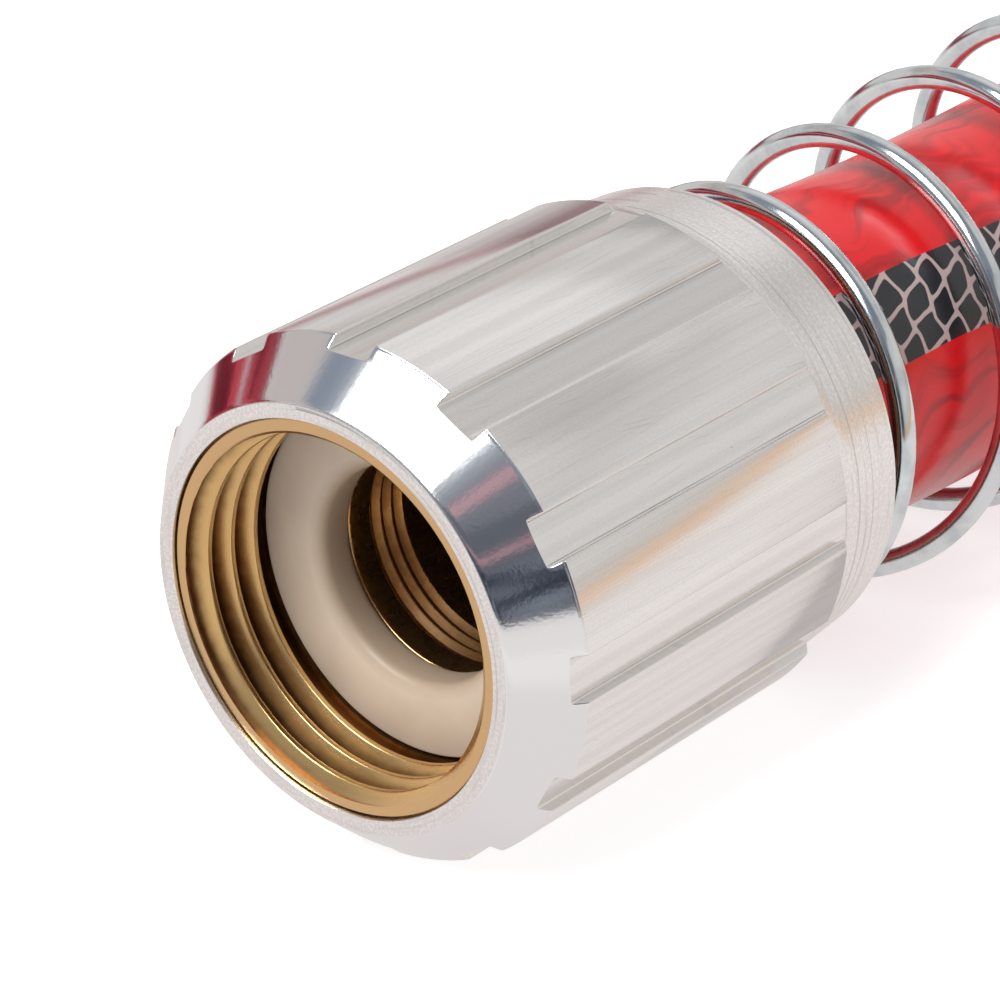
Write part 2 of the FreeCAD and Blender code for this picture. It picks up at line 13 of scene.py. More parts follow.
import bpy
import numpy as np
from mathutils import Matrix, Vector


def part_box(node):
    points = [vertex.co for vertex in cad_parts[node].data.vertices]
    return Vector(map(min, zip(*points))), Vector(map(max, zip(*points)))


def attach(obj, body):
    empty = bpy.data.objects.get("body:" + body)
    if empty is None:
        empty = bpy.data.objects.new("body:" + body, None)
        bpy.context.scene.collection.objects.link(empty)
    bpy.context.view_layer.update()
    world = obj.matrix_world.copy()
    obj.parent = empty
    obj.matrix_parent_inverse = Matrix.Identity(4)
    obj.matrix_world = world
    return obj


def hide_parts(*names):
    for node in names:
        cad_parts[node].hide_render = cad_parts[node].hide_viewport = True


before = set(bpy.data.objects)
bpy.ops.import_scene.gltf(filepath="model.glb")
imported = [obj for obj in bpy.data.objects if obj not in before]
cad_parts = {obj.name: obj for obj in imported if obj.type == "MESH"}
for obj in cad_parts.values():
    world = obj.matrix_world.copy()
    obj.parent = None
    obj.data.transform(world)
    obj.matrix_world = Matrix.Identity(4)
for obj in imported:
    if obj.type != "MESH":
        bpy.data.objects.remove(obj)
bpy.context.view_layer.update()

mm = 0.001

# %% [markdown]
# ## Colours and nodes
#
# A designer picks colours as screen values, such as #C8A465, but a render adds up light, which needs
# linear numbers. One function turns the first into the second. A second one adds a shader node with its
# settings and its links, because writing each link by hand hides what a material is made of.

# %% Colours and nodes
# Mix nodes mix colours here, and Map Range nodes are soft steps.
USUAL = {"Mix": {"data_type": "RGBA"}, "MapRange": {"interpolation_type": "SMOOTHSTEP"}}


def linear(code):
    """sRGB hex to linear: below 0.04045 divide by 12.92, else raise (c + 0.055) / 1.055 to 2.4."""
    channels = np.array([int(code[i : i + 2], 16) for i in (1, 3, 5)]) / 255
    curve = np.where(channels <= 0.04045, channels / 12.92, ((channels + 0.055) / 1.055) ** 2.4)
    return (*curve.tolist(), 1.0)


def add(tree, kind, *values, named=None, out=None, **settings):
    """Add one shader node, and give back its first output in use, the one that out names, or "all".

    The kind may name an operation too, as in Math.MULTIPLY. The values go to the inputs in use, in their
    order, and those in named go by name: a socket is linked, a hex colour made linear, the rest is set.
    """
    kind, _, operation = kind.partition(".")
    node = tree.nodes.new("ShaderNode" + kind)
    if operation:
        node.operation = operation
    for name, value in (USUAL.get(kind, {}) | settings).items():
        setattr(node, name, value)
    pairs = list(zip([socket for socket in node.inputs if socket.enabled], values))
    pairs += [(node.inputs[name], value) for name, value in (named or {}).items()]
    for socket, value in pairs:
        if isinstance(value, bpy.types.NodeSocket):
            tree.links.new(value, socket)
        else:
            socket.default_value = linear(value) if isinstance(value, str) else value
    if out == "all":
        return node.outputs
    return node.outputs[out] if out else next((s for s in node.outputs if s.enabled), None)


print("white is", linear("#FFFFFF"), "and mid grey is", np.round(linear("#808080"), 3))

# %% [markdown]
# ## What every material needs
#
# Two functions open a material and close it, and three take up what nearly every material does: lay
# colours over one another, multiply shares, and add up bumps by their weights. They make nodes only
# through the function above, so a material reads from its base tone to its last speck.

# %% Materials and layers
def new_material(name):
    """A material and its node tree, still empty."""
    material = bpy.data.materials.new(name)
    material.use_nodes = True
    material.node_tree.nodes.clear()
    return material, material.node_tree


def coat(tree, colour, roughness, height=None, depth=0.0, **more):
    """The surface of a material, with bumps of this depth in metres where a height is given."""
    named = {"Base Color": colour, "Roughness": roughness, **more}
    if height:
        named["Normal"] = add(tree, "Bump", named={"Height": height, "Strength": 1.0, "Distance": depth})
    add(tree, "OutputMaterial", add(tree, "BsdfPrincipled", named=named))


def layered(tree, tone, *layers):
    """Colours laid over a tone one after another, each as far as its share."""
    for share, colour in layers:
        tone = add(tree, "Mix", share, tone, colour)
    return tone


def product(tree, value, *others):
    """Several values multiplied."""
    for other in others:
        value = add(tree, "Math.MULTIPLY", value, other)
    return value


def weighted(tree, *pairs):
    """The sum of values, each times its weight."""
    total = 0.0
    for value, weight in pairs:
        total = add(tree, "Math.MULTIPLY_ADD", value, weight, total)
    return total


helpers = (new_material, coat, layered, product, weighted)
print("helpers for materials:", [helper.__name__ for helper in helpers])

# %% [markdown]
# ## The camera
#
# A product shot of a small part uses a long lens from a short way off. The camera looks at the mouth of
# the coupling from its front, its left side and above, and the hose runs away to the upper right. An
# aim point, two angles and a distance place it, which is easier to adjust than a place and a rotation.

# %% Camera
AIM = Vector((14.235, -2.458, 4.047)) * mm
CAMERA_AWAY = 290.94 * mm
CAMERA_TURN = math.radians(49.715)  # from straight beside the mouth towards its front
CAMERA_RISE = math.radians(27.347)

away = Vector((
    -math.cos(CAMERA_RISE) * math.sin(CAMERA_TURN),
    -math.cos(CAMERA_RISE) * math.cos(CAMERA_TURN),
    math.sin(CAMERA_RISE),
))
lens = bpy.data.cameras.new("camera")
lens.lens = 159.3
lens.sensor_width = 36.0
lens.clip_start = 10 * mm
camera = bpy.data.objects.new("camera", lens)
camera.location = AIM + away * CAMERA_AWAY
camera.rotation_euler = (-away).to_track_quat("-Z", "Y").to_euler()
bpy.context.scene.collection.objects.link(camera)
bpy.context.scene.camera = camera
print("camera at", [round(v, 4) for v in camera.location])

# %% [markdown]
# ## The world
#
# Bare metal shows what stands round it more than its own colour, so the room matters as much as the
# material. The camera sees plain white, matt surfaces get even light, and reflections see a dome: grey
# in front of the part and pale behind it, with a few soft patches. The grey half gives round wires their
# darker sides, and the patches are the lights on the chamfer, the flutes and the hose.

# %% World
ROOM_LEVEL = 0.91  # how bright a reflected white is
DOME_PATCHES = [  # direction, degrees from it that are full and where it ends, colour
    ((0.70, 0.35, 0.62), 10, 22, "#F4F1F0"),  # the brightest, above the hose
    ((0.71, -0.20, 0.67), 8, 17, "#C8C6C4"),  # weaker, beside it towards the camera
    ((-0.22, 0.80, 0.56), 8, 14, "#C9C1BF"),  # pale, on the far side
    ((-0.305, 0.67, 0.68), 3, 8, "#8892A2"),  # blue-grey, over the edge of the pale one
    ((-0.63, -0.49, 0.60), 6, 12, "#7C7F88"),  # grey, above the camera
    ((-0.622, -0.437, 0.650), 1.4, 3.0, "#D9A5AC"),  # a small pink one in the grey
]


def ray_kinds(tree):
    """Two sockets: 1 for rays from the camera, and 1 for rays that a reflection or clear body sends."""
    path = add(tree, "LightPath", out="all")
    mirrored = add(tree, "Math.MAXIMUM", path["Is Glossy Ray"], path["Is Transmission Ray"])
    return path["Is Camera Ray"], mirrored


def room(world):
    """White for the camera, even light for matt surfaces, and for reflections a dome in two halves."""
    world.use_nodes = True
    tree = world.node_tree
    tree.nodes.clear()
    way = add(tree, "TexCoord", out="Generated")
    back = add(tree, "SeparateXYZ", way, out="X")
    dome = add(tree, "Mix", add(tree, "MapRange", back, -0.10, 0.35), "#8E949C", "#E2E0DE")
    for direction, full, end, colour in DOME_PATCHES:
        dot = add(tree, "VectorMath.DOT_PRODUCT", way, Vector(direction).normalized())
        share = add(tree, "MapRange", dot, math.cos(math.radians(end)), math.cos(math.radians(full)))
        dome = add(tree, "Mix", share, dome, colour)
    camera_ray, mirrored = ray_kinds(tree)
    seen = add(tree, "Background", dome, ROOM_LEVEL)
    even = add(tree, "Background", "#F4F6FA", 0.6)
    plain = add(tree, "Background", "#FFFFFF", 1.0)
    lit = add(tree, "MixShader", mirrored, even, seen)
    add(tree, "OutputWorld", add(tree, "MixShader", camera_ray, lit, plain))


bpy.context.scene.world = bpy.data.worlds.new("room")
room(bpy.context.scene.world)
bpy.context.scene.view_settings.view_transform = "Standard"
print("dome patches:", len(DOME_PATCHES))

# %% [markdown]
# ## The sheet
#
# The part lies on a white sheet. More light would make it white, but it would bleach the part as well.
# So the sheet glows a little for the camera: it comes out as white as the world behind it and still
# takes the part's shadow. For reflections it is nearly all glow, so that no shadow spots the metal.

# %% Sheet
FLOOR_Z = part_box("grip_shell")[0].z
SHEET_HALF = 3.0
SHEET_GLOW = 0.68  # what the sheet adds of its own for the camera


def staged(name, corners, faces, material):
    """A mesh that belongs to the studio and not to the part."""
    mesh = bpy.data.meshes.new(name)
    mesh.from_pydata(corners, [], faces)
    mesh.materials.append(material)
    piece = bpy.data.objects.new(name, mesh)
    bpy.context.scene.collection.objects.link(piece)
    return piece


def white_sheet():
    """The floor: its paint is one tone for light, one for the camera and a dark one for reflections.

    What it adds of its own is white for the camera, and for reflections whiter towards the camera.
    """
    material, tree = new_material("white_paper")
    camera_ray, mirrored = ray_kinds(tree)
    paint = layered(tree, "#F4F4F4", (mirrored, "#383636"), (camera_ray, "#D0D0D0"))
    side = add(tree, "SeparateXYZ", add(tree, "TexCoord", out="Object"), out="Y")
    near = add(tree, "MapRange", side, -8 * mm, -17 * mm)
    nearer = add(tree, "MapRange", side, -42 * mm, -56 * mm)
    tone = layered(tree, "#E6DFDD", (near, "#EBE4E2"), (nearer, "#F6F1EF"), (camera_ray, "#FFFFFF"))
    level = weighted(tree, (mirrored, ROOM_LEVEL), (camera_ray, SHEET_GLOW))
    glow = {"Emission Color": tone, "Emission Strength": level}
    coat(tree, paint, 0.9, **{"Specular IOR Level": 0.1}, **glow)
    signs = [(-1, -1), (1, -1), (1, 1), (-1, 1)]
    corners = [(x * SHEET_HALF, y * SHEET_HALF, FLOOR_Z) for x, y in signs]
    staged("white_sheet", corners, [(0, 1, 2, 3)], material)


white_sheet()
print("floor at", round(FLOOR_Z, 5))

# %% [markdown]
# ## The cards
#
# A studio stands cards round a shiny part to choose what it reflects. Here five low cards stand round
# it in a ring, and only reflections see them: a dark one where the camera stands, a pale one with a warm
# streak on the right, and a red one on the left. They are one ring with one paint that goes by place,
# which is shorter than five pieces with five paints.

# %% Cards
CARD_TOP = 75 * mm
CARD_LINE = [(-75, -85), (50, -85), (145, -20), (145, 85), (-75, 85)]  # mm, their feet seen from above


def window(tree, value, low, high, soft):
    """1 between low and high, 0 outside, with edges of the given softness."""
    up = add(tree, "MapRange", value, low - soft, low + soft)
    return product(tree, up, add(tree, "MapRange", value, high - soft, high + soft, 1.0, 0.0))


def card_paint():
    """The cards' colours by place: x and y say which card, and z is the height above the axis."""
    material, tree = new_material("painted_card")
    place = add(tree, "TexCoord", out="Object")
    x, y, z = add(tree, "SeparateXYZ", place, out="all")
    near_side = add(tree, "Math.LESS_THAN", y, -15 * mm)
    far_side = add(tree, "Math.GREATER_THAN", y, 80 * mm)
    cloud = add(tree, "TexNoise", place, 0.17 / mm, 3.0)
    # The pale cards: a greyer band low down, a greyer top on the far side and a warm streak on the near.
    top = product(tree, far_side, add(tree, "MapRange", z, 45 * mm, 52 * mm))
    uneven = add(tree, "MapRange", cloud, 0.2, 0.6, 0.5, 1.0)
    warm = product(tree, window(tree, z, 3.5 * mm, 8 * mm, 2 * mm), near_side, uneven)
    pale = layered(
        tree, "#D7D4D2", (add(tree, "MapRange", z, 60 * mm, 45 * mm), "#E2DFDD"),
        (window(tree, z, 9 * mm, 18 * mm, 4 * mm), "#D0CDCA"), (top, "#CDC3BF"), (warm, "#F6B25A"),
    )
    # Grey towards the front except on the far side, and a white foot all round.
    kept = add(tree, "Math.MAXIMUM", add(tree, "MapRange", x, -50 * mm, 30 * mm), far_side)
    foot = add(tree, "MapRange", z, 3 * mm, 0.5 * mm)
    colour = layered(tree, "#8B9097", (kept, pale), (foot, "#F7F2F0"))
    # The dark card by the camera: mottled up to 42 mm, grey above, with a pink bar across.
    dark = product(tree, add(tree, "MapRange", x, -12 * mm, -26 * mm), near_side)
    dark = product(tree, dark, add(tree, "MapRange", z, 0.5 * mm, 2.5 * mm))
    mottle = add(tree, "Mix", add(tree, "MapRange", cloud, 0.46, 0.64), "#1E2534", "#8A919D")
    low = product(tree, dark, add(tree, "MapRange", z, 42 * mm, 36 * mm))
    bar = product(tree, dark, window(tree, z, 46 * mm, 51 * mm, 1.5 * mm))
    colour = layered(tree, colour, (dark, "#62676F"), (low, mottle), (bar, "#C99AA2"))
    # The red card on the far side: flat stripes with one pale bar, and fainter and lower further back.
    stripes = add(tree, "Mapping", named={"Vector": place, "Scale": (40, 1, 420)})
    stripes = add(tree, "TexNoise", stripes, 1.0, 2.0)
    pale_bar = window(tree, z, 26 * mm, 29 * mm, 1 * mm)
    red = layered(tree, "#661824", (add(tree, "MapRange", stripes, 0.44, 0.56), "#C84654"))
    red = layered(tree, red, (pale_bar, "#CFB4B6"))
    faint = add(tree, "Mix", add(tree, "MapRange", stripes, 0.40, 0.60), "#84303F", "#B26A76")
    front, back = window(tree, x, -50 * mm, 30 * mm, 5 * mm), add(tree, "MapRange", x, 50 * mm, 65 * mm)
    front = product(tree, window(tree, z, 5 * mm, 46 * mm, 1 * mm), front, far_side)
    back = product(tree, window(tree, z, 5 * mm, 16 * mm, 2 * mm), back, far_side)
    colour = layered(tree, colour, (front, red), (back, faint))
    add(tree, "OutputMaterial", add(tree, "Emission", colour, ROOM_LEVEL))
    return material


def cards():
    """Five upright cards in a ring round the part, seen by reflections alone."""
    count = len(CARD_LINE)
    corners = [(x * mm, y * mm, z) for z in (FLOOR_Z, CARD_TOP) for x, y in CARD_LINE]
    faces = [(i, (i + 1) % count, (i + 1) % count + count, i + count) for i in range(count)]
    ring = staged("cards", corners, faces, card_paint())
    ring.visible_camera = False
    ring.visible_diffuse = False
    ring.visible_shadow = False


cards()
print(len(CARD_LINE), "cards, up to", round(CARD_TOP / mm), "mm above the coupling's axis")

# %% [markdown]
# ## The lamp
#
# One large soft lamp hangs above the part, towards its mouth. Several small lamps would each leave a
# shadow and a dot on every curve, and a large one leaves a soft shadow and one broad highlight.

# %% Lamp
def lamp(name, place, aim, wide, deep, power):
    """An oblong soft lamp that faces the aim point."""
    light = bpy.data.lights.new(name, "AREA")
    light.shape = "RECTANGLE"
    light.size = wide
    light.size_y = deep
    light.energy = power
    piece = bpy.data.objects.new(name, light)
    piece.location = place
    piece.rotation_euler = (Vector(aim) - Vector(place)).to_track_quat("-Z", "Y").to_euler()
    bpy.context.scene.collection.objects.link(piece)
    print(f"{name}: {wide} by {deep} m, {power} W")


lamp("overhead_softbox", (-0.45, 0.12, 0.72), aim=(0.02, 0, 0), wide=0.70, deep=0.50, power=10.0)

# %% [markdown]
# ## Surfaces as grids
#
# Every turned or swept piece here is a grid of points: rows along a profile or a path, columns round
# it. Working the points out as whole arrays is quick, and it gives an even net of four-sided faces with
# a map of real lengths on it, so that a pattern such as a scratch keeps its true size. The function
# below joins such a grid into a closed mesh and turns it inside out if its volume comes out negative.

# %% A grid becomes a mesh
SHARP = math.radians(38)  # faces that meet at more than this keep a sharp edge


def six_volumes(a, b, c):
    """Six times the signed volume under triangles: the sum of a . (b x c)."""
    return np.einsum("ij,ij->i", a, np.cross(b, c)).sum()


def grid_piece(name, points, materials, map_u, map_v, closed_rows=False, slots=None, body="hose"):
    """Quads between neighbouring rows and columns. Columns always close, and open row ends get a fan.

    map_u has one more value than there are columns, and map_v one per row, plus one if rows close.
    slots holds one material number per row, or one per row and column.
    """
    rows, columns = points.shape[:2]
    i, j = np.meshgrid(np.arange(rows if closed_rows else rows - 1), np.arange(columns), indexing="ij")
    i, j = i.ravel(), j.ravel()
    i2, j2 = (i + 1) % rows, (j + 1) % columns
    faces = np.stack([i * columns + j, i * columns + j2, i2 * columns + j2, i2 * columns + j], 1)
    u = np.stack([map_u[j], map_u[j + 1], map_u[j + 1], map_u[j]], 1)
    v = np.stack([map_v[i], map_v[i], map_v[i + 1], map_v[i + 1]], 1)
    vertices = points.reshape(-1, 3)
    a, b, c, d = (vertices[faces[:, k]] for k in range(4))
    volume = six_volumes(a, b, c) + six_volumes(a, c, d)
    slots = np.zeros(rows, int) if slots is None else slots
    slot_list = (slots[i] if slots.ndim == 1 else slots[i, j]).tolist()
    face_list, uv_list = faces.tolist(), np.stack([u, v], 2).reshape(-1, 2).tolist()
    ring, after = np.arange(columns), (np.arange(columns) + 1) % columns
    for row, first, second in () if closed_rows else ((0, after, ring), (rows - 1, ring, after)):
        centre = np.full(columns, len(vertices))
        vertices = np.vstack([vertices, points[row].mean(0)])
        fan = np.stack([row * columns + first, row * columns + second, centre], 1)
        volume += six_volumes(*(vertices[fan[:, k]] for k in range(3)))
        face_list += fan.tolist()
        uv_list += np.tile([[map_u[0], map_v[row]]], (3 * columns, 1)).tolist()
        slot_list += [slot_list[0 if row == 0 else -1]] * columns
    mesh = bpy.data.meshes.new(name)
    mesh.from_pydata(vertices.tolist(), [], face_list)
    layer = mesh.uv_layers.new(name="surface")
    layer.data.foreach_set("uv", np.asarray(uv_list, np.float32).ravel())
    mesh.polygons.foreach_set("material_index", np.asarray(slot_list, np.int32))
    if volume < 0:
        mesh.flip_normals()
    mesh.shade_smooth()
    mesh.set_sharp_from_angle(angle=SHARP)
    for material in materials:
        mesh.materials.append(material)
    piece = bpy.data.objects.new(name, mesh)
    bpy.context.scene.collection.objects.link(piece)
    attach(piece, body)
    print(f"{name}: {len(face_list)} faces, {abs(volume) / 6 * 1e9:.0f} mm3")
    return piece


print("sharp edges from", round(math.degrees(SHARP)), "degrees")

# %% [markdown]
# ## Turned pieces
#
# On a lathe the tool follows an outline while the work spins. So a turned piece is a closed outline of
# (x, r) points carried round the X axis. Real corners are never quite sharp: each may have a radius,
# and its arc catches the thin line of light that tells the eye that a piece is real.

# %% Outlines and lathe pieces
def rounded(corners, steps=4):
    """A closed outline of (x, r) points whose corners are arcs of the given radius, in metres.

    The arc meets both runs at radius / tan(half the corner's angle) from the corner, and its points are
    the corner's tangent points blended through the arc's centre.
    """
    at = np.array([c[:2] for c in corners], float)
    radius = np.array([c[2] if len(c) > 2 else 0.0 for c in corners], float)
    back = np.roll(at, 1, 0) - at
    ahead = np.roll(at, -1, 0) - at
    back /= np.linalg.norm(back, axis=1)[:, None]
    ahead /= np.linalg.norm(ahead, axis=1)[:, None]
    t = np.linspace(0, 1, steps + 1)[:, None]
    outline = []
    for p, a, b, r in zip(at, back, ahead, radius):
        if r == 0:
            outline.append(p[None])
            continue
        half = math.acos(np.clip(a @ b, -1, 1)) / 2
        centre = p + (a + b) / np.linalg.norm(a + b) * r / math.sin(half)
        first, last = p + a * r / math.tan(half) - centre, p + b * r / math.tan(half) - centre
        sweep = math.pi - 2 * half
        arc = (np.sin((1 - t) * sweep) * first + np.sin(t * sweep) * last) / math.sin(sweep)
        outline.append(centre + arc)
    return np.vstack(outline)


def turn_steps(count):
    """The angles that divide a full turn into this many steps, with both 0 and 360 degrees."""
    return np.linspace(0, 2 * math.pi, count + 1)


def around(outline, angles, radius=None):
    """Points at (x, r cos a, r sin a) for every outline point and angle. r is the outline's, or given."""
    x = outline[:, :1] + 0 * angles
    r = outline[:, 1:] if radius is None else radius
    return np.stack([x, r * np.cos(angles), r * np.sin(angles)], 2)


def run_lengths(outline):
    """The length walked along a closed outline, one value per point and one more where it closes."""
    steps = np.linalg.norm(np.roll(outline, -1, 0) - outline, axis=1)
    return np.concatenate([[0], np.cumsum(steps)])


def turned(name, corners, materials, body="hose", segments=160, shift=(0, 0, 0)):
    """A lathe piece: the rounded outline carried round the X axis, then moved to its place."""
    outline = rounded(corners)
    points = around(outline, turn_steps(segments)[:-1]) + np.array(shift)
    map_u = turn_steps(segments) * outline[:, 1].max()
    return grid_piece(name, points, materials, map_u, run_lengths(outline), closed_rows=True, body=body)


print("a corner's arc has", len(rounded([(0, 0, 1e-4), (1, 0), (1, 1)])) - 2, "points")

# %% [markdown]
# ## Marks that metal and rubber share
#
# Drawing, turning and extruding all leave noise that is long one way and short the other. Pits and dust
# are small round specks a spacing apart, and handling leaves a few straight scratches. All are given
# by their real widths and lengths, because every map here is in metres.

# %% Streaks, specks and scratches
def streaks(tree, coordinates, width, length, detail=3.0, seed=0.0):
    """Noise drawn out into streaks of this width across and this length along, both in metres."""
    scale = (1 / width, 1 / length, 1)
    stretched = add(tree, "Mapping", coordinates, (seed, seed, 0), (0, 0, 0), scale)
    return add(tree, "TexNoise", stretched, 1.0, detail)


def specks(tree, coordinates, spacing, size):
    """1 at the middle of round specks of this size, a spacing apart on average, and 0 between them."""
    scaled = add(tree, "VectorMath.SCALE", coordinates, 1 / spacing)
    return add(tree, "MapRange", add(tree, "TexVoronoi", scaled, 1.0), size / spacing / 2, 0.0)


def scratches(tree, coordinates, width, length, turn, seed):
    """A few straight scratches: the peaks of streaks that are turned from the axis by some degrees."""
    tilted = add(tree, "Mapping", coordinates, (0, 0, 0), (0, 0, math.radians(turn)))
    return add(tree, "MapRange", streaks(tree, tilted, width, length, 0.0, seed), 0.74, 0.80)


def off_middle(tree, value):
    """How far a repeating value is from the middle of its repeat: |fract - 0.5|."""
    return add(tree, "Math.ABSOLUTE", add(tree, "Math.SUBTRACT", add(tree, "Math.FRACT", value), 0.5))


def wandering(tree, value, amount, *streak):
    """The value plus (streaks - 0.5) times the amount, so that a straight line wavers."""
    noise = add(tree, "Math.SUBTRACT", streaks(tree, *streak), 0.5)
    return add(tree, "Math.MULTIPLY_ADD", noise, amount, value)


def from_axis(tree, place):
    """Two sockets: a point's x, and its distance from the X axis."""
    x, y, z = add(tree, "SeparateXYZ", place, out="all")
    return x, add(tree, "VectorMath.LENGTH", add(tree, "CombineXYZ", 0.0, y, z))


helpers = (streaks, specks, scratches, off_middle, wandering, from_axis)
print("helpers for marks:", [helper.__name__ for helper in helpers])

# %% [markdown]
# ## Extruded aluminium
#
# The grip is cut from an extruded aluminium tube. Extruding leaves long fine lines along the tube, which
# stretch every reflection across them. They are streaks on the piece's own map, so they run along every
# land and flute, and darker patches follow the flutes' corners on the same map.

# %% Extruded aluminium
LAND_R = 18.50 * mm
FLUTES = 12
WALL = (1.46 * mm, 1.72 * mm)  # from a flute's middle line: where its wall stands
CORNER = (1.52 * mm, 1.60 * mm)  # and where its corner is darker in patches
WALL_EDGE = 0.04 * mm


def extruded_aluminium():
    """Bare extruded 6000-series aluminium: satin, with die lines, small pits and handling scratches.

    Patches along the flutes' corners are darker. The lines are drawn 0.12 mm wide, so that they show.
    """
    material, tree = new_material("extruded_aluminium")
    place = add(tree, "UVMap", uv_map="surface")
    u, v, _ = add(tree, "SeparateXYZ", place, out="all")
    fine = streaks(tree, place, 0.12 * mm, 500 * mm, 1.0)
    broad = streaks(tree, place, 0.9 * mm, 500 * mm, 2.0, 3.1)
    grain = add(tree, "TexNoise", place, 4.2 / mm, 2.0)
    repeat = 2 * math.pi * LAND_R / FLUTES
    apart = off_middle(tree, add(tree, "Math.MULTIPLY_ADD", u, 1 / repeat, 0.5))
    wall = window(tree, apart, WALL[0] / repeat, WALL[1] / repeat, WALL_EDGE / repeat)
    corner = window(tree, apart, CORNER[0] / repeat, CORNER[1] / repeat, WALL_EDGE / repeat)
    at_rear = add(tree, "MapRange", v, 28 * mm, 33 * mm)
    rear_pits = product(tree, specks(tree, place, 1.3 * mm, 0.24 * mm), at_rear)
    pits = add(tree, "Math.MAXIMUM", specks(tree, place, 2.4 * mm, 0.20 * mm), rear_pits)
    pits = product(tree, pits, add(tree, "Math.SUBTRACT", 1.0, wall))
    short_marks = scratches(tree, place, 0.16 * mm, 5 * mm, 9, 0.7)
    marks = add(tree, "Math.MAXIMUM", short_marks, scratches(tree, place, 0.13 * mm, 8 * mm, -4, 4.4))
    patchy = streaks(tree, place, 3 * mm, 9 * mm, 2.0, 6.0)
    patchy = add(tree, "MapRange", patchy, 0.30, 0.65, 0.10, 0.60)
    lines = weighted(tree, (broad, 0.50), (fine, 0.30), (grain, 0.20))
    tone = layered(
        tree, "#F6F5F4", (add(tree, "MapRange", lines, 0.36, 0.64), "#EAE8E6"),
        (product(tree, corner, patchy), "#8F857D"), (product(tree, marks, 0.15), "#B5AFAA"),
        (product(tree, pits, 0.55), "#746E69"),
    )
    height = weighted(tree, (broad, 0.50), (fine, 0.14), (grain, 0.25))
    roughness = add(tree, "Math.MULTIPLY_ADD", lines, 0.10, 0.15)
    coat(tree, tone, roughness, height, 0.010 * mm, Metallic=1.0)
    return material


EXTRUDED = extruded_aluminium()
print(EXTRUDED.name, "has", len(EXTRUDED.node_tree.nodes), "nodes")

# %% [markdown]
# ## Polished and turned aluminium
#
# The front chamfer was cut with a sharp tool at high speed, so it is nearly a mirror with a faint
# orange-peel, and the rim and the rear band keep the rings of an ordinary cut. Both are the same metal
# as before, so only the tone, the roughness and the bumps differ.

# %% Polished and turned aluminium
def polished_aluminium():
    """Aluminium after a fast finishing cut: a mirror with faint rings and a fine orange-peel."""
    material, tree = new_material("polished_aluminium")
    place = add(tree, "UVMap", uv_map="surface")
    peel = add(tree, "TexNoise", add(tree, "VectorMath.SCALE", place, 1 / (0.34 * mm)), 1.0, 2.0)
    height = weighted(tree, (peel, 1.0), (streaks(tree, place, 30 * mm, 0.09 * mm), 0.10))
    coat(tree, "#EFF0F2", 0.12, height, 0.0040 * mm, Metallic=1.0)
    return material


def turned_aluminium():
    """Aluminium after an ordinary lathe cut: fine rings, a few deeper ones, scuffed here and there."""
    material, tree = new_material("turned_aluminium")
    place = add(tree, "UVMap", uv_map="surface")
    rings = streaks(tree, place, 90 * mm, 0.14 * mm)
    deeper = add(tree, "MapRange", streaks(tree, place, 140 * mm, 0.42 * mm, 0.0, 2.6), 0.67, 0.72)
    scuffed = add(tree, "MapRange", streaks(tree, place, 6 * mm, 0.30 * mm, 4.0, 1.3), 0.50, 0.72)
    past_rim = add(tree, "MapRange", add(tree, "SeparateXYZ", place, out="Y"), 2 * mm, 5 * mm)
    grain = product(tree, add(tree, "TexNoise", place, 3.6 / mm, 3.0), past_rim)
    tone = layered(
        tree, "#FBF9F8", (add(tree, "MapRange", grain, 0.30, 0.65), "#ECEAE8"),
        (product(tree, scuffed, 0.7), "#DEDBD8"), (product(tree, deeper, 0.35), "#9A958F"),
    )
    height = weighted(tree, (rings, 1.0), (scuffed, -0.3), (grain, 0.15), (deeper, -1.3))
    roughness = add(tree, "Math.MULTIPLY_ADD", scuffed, 0.10, 0.24)
    coat(tree, tone, roughness, height, 0.007 * mm, Metallic=1.0)
    return material


POLISHED, TURNED = polished_aluminium(), turned_aluminium()
print("aluminium after the lathe:", POLISHED.name, TURNED.name)

# %% [markdown]
# ## The flutes
#
# The round bar has twelve flutes with flat floors. They could be boxes cut out of a cylinder, but such
# cuts leave long thin faces that shade badly on a mirror. So the section is worked out here: across a
# flute the height is the lower of the round land and the flat floor, with a small radius at each corner.

# %% Flutes
FLUTE_FLOOR = 17.65 * mm
FLUTE_HALF = LAND_R * math.tan(math.radians(5))
LAND_EDGE = 0.13 * mm  # broken edge along each land
FLOOR_EDGE = 0.16 * mm  # radius in the flute's corner
HAIR = 0.006 * mm  # keeps the wall's columns from falling on one line


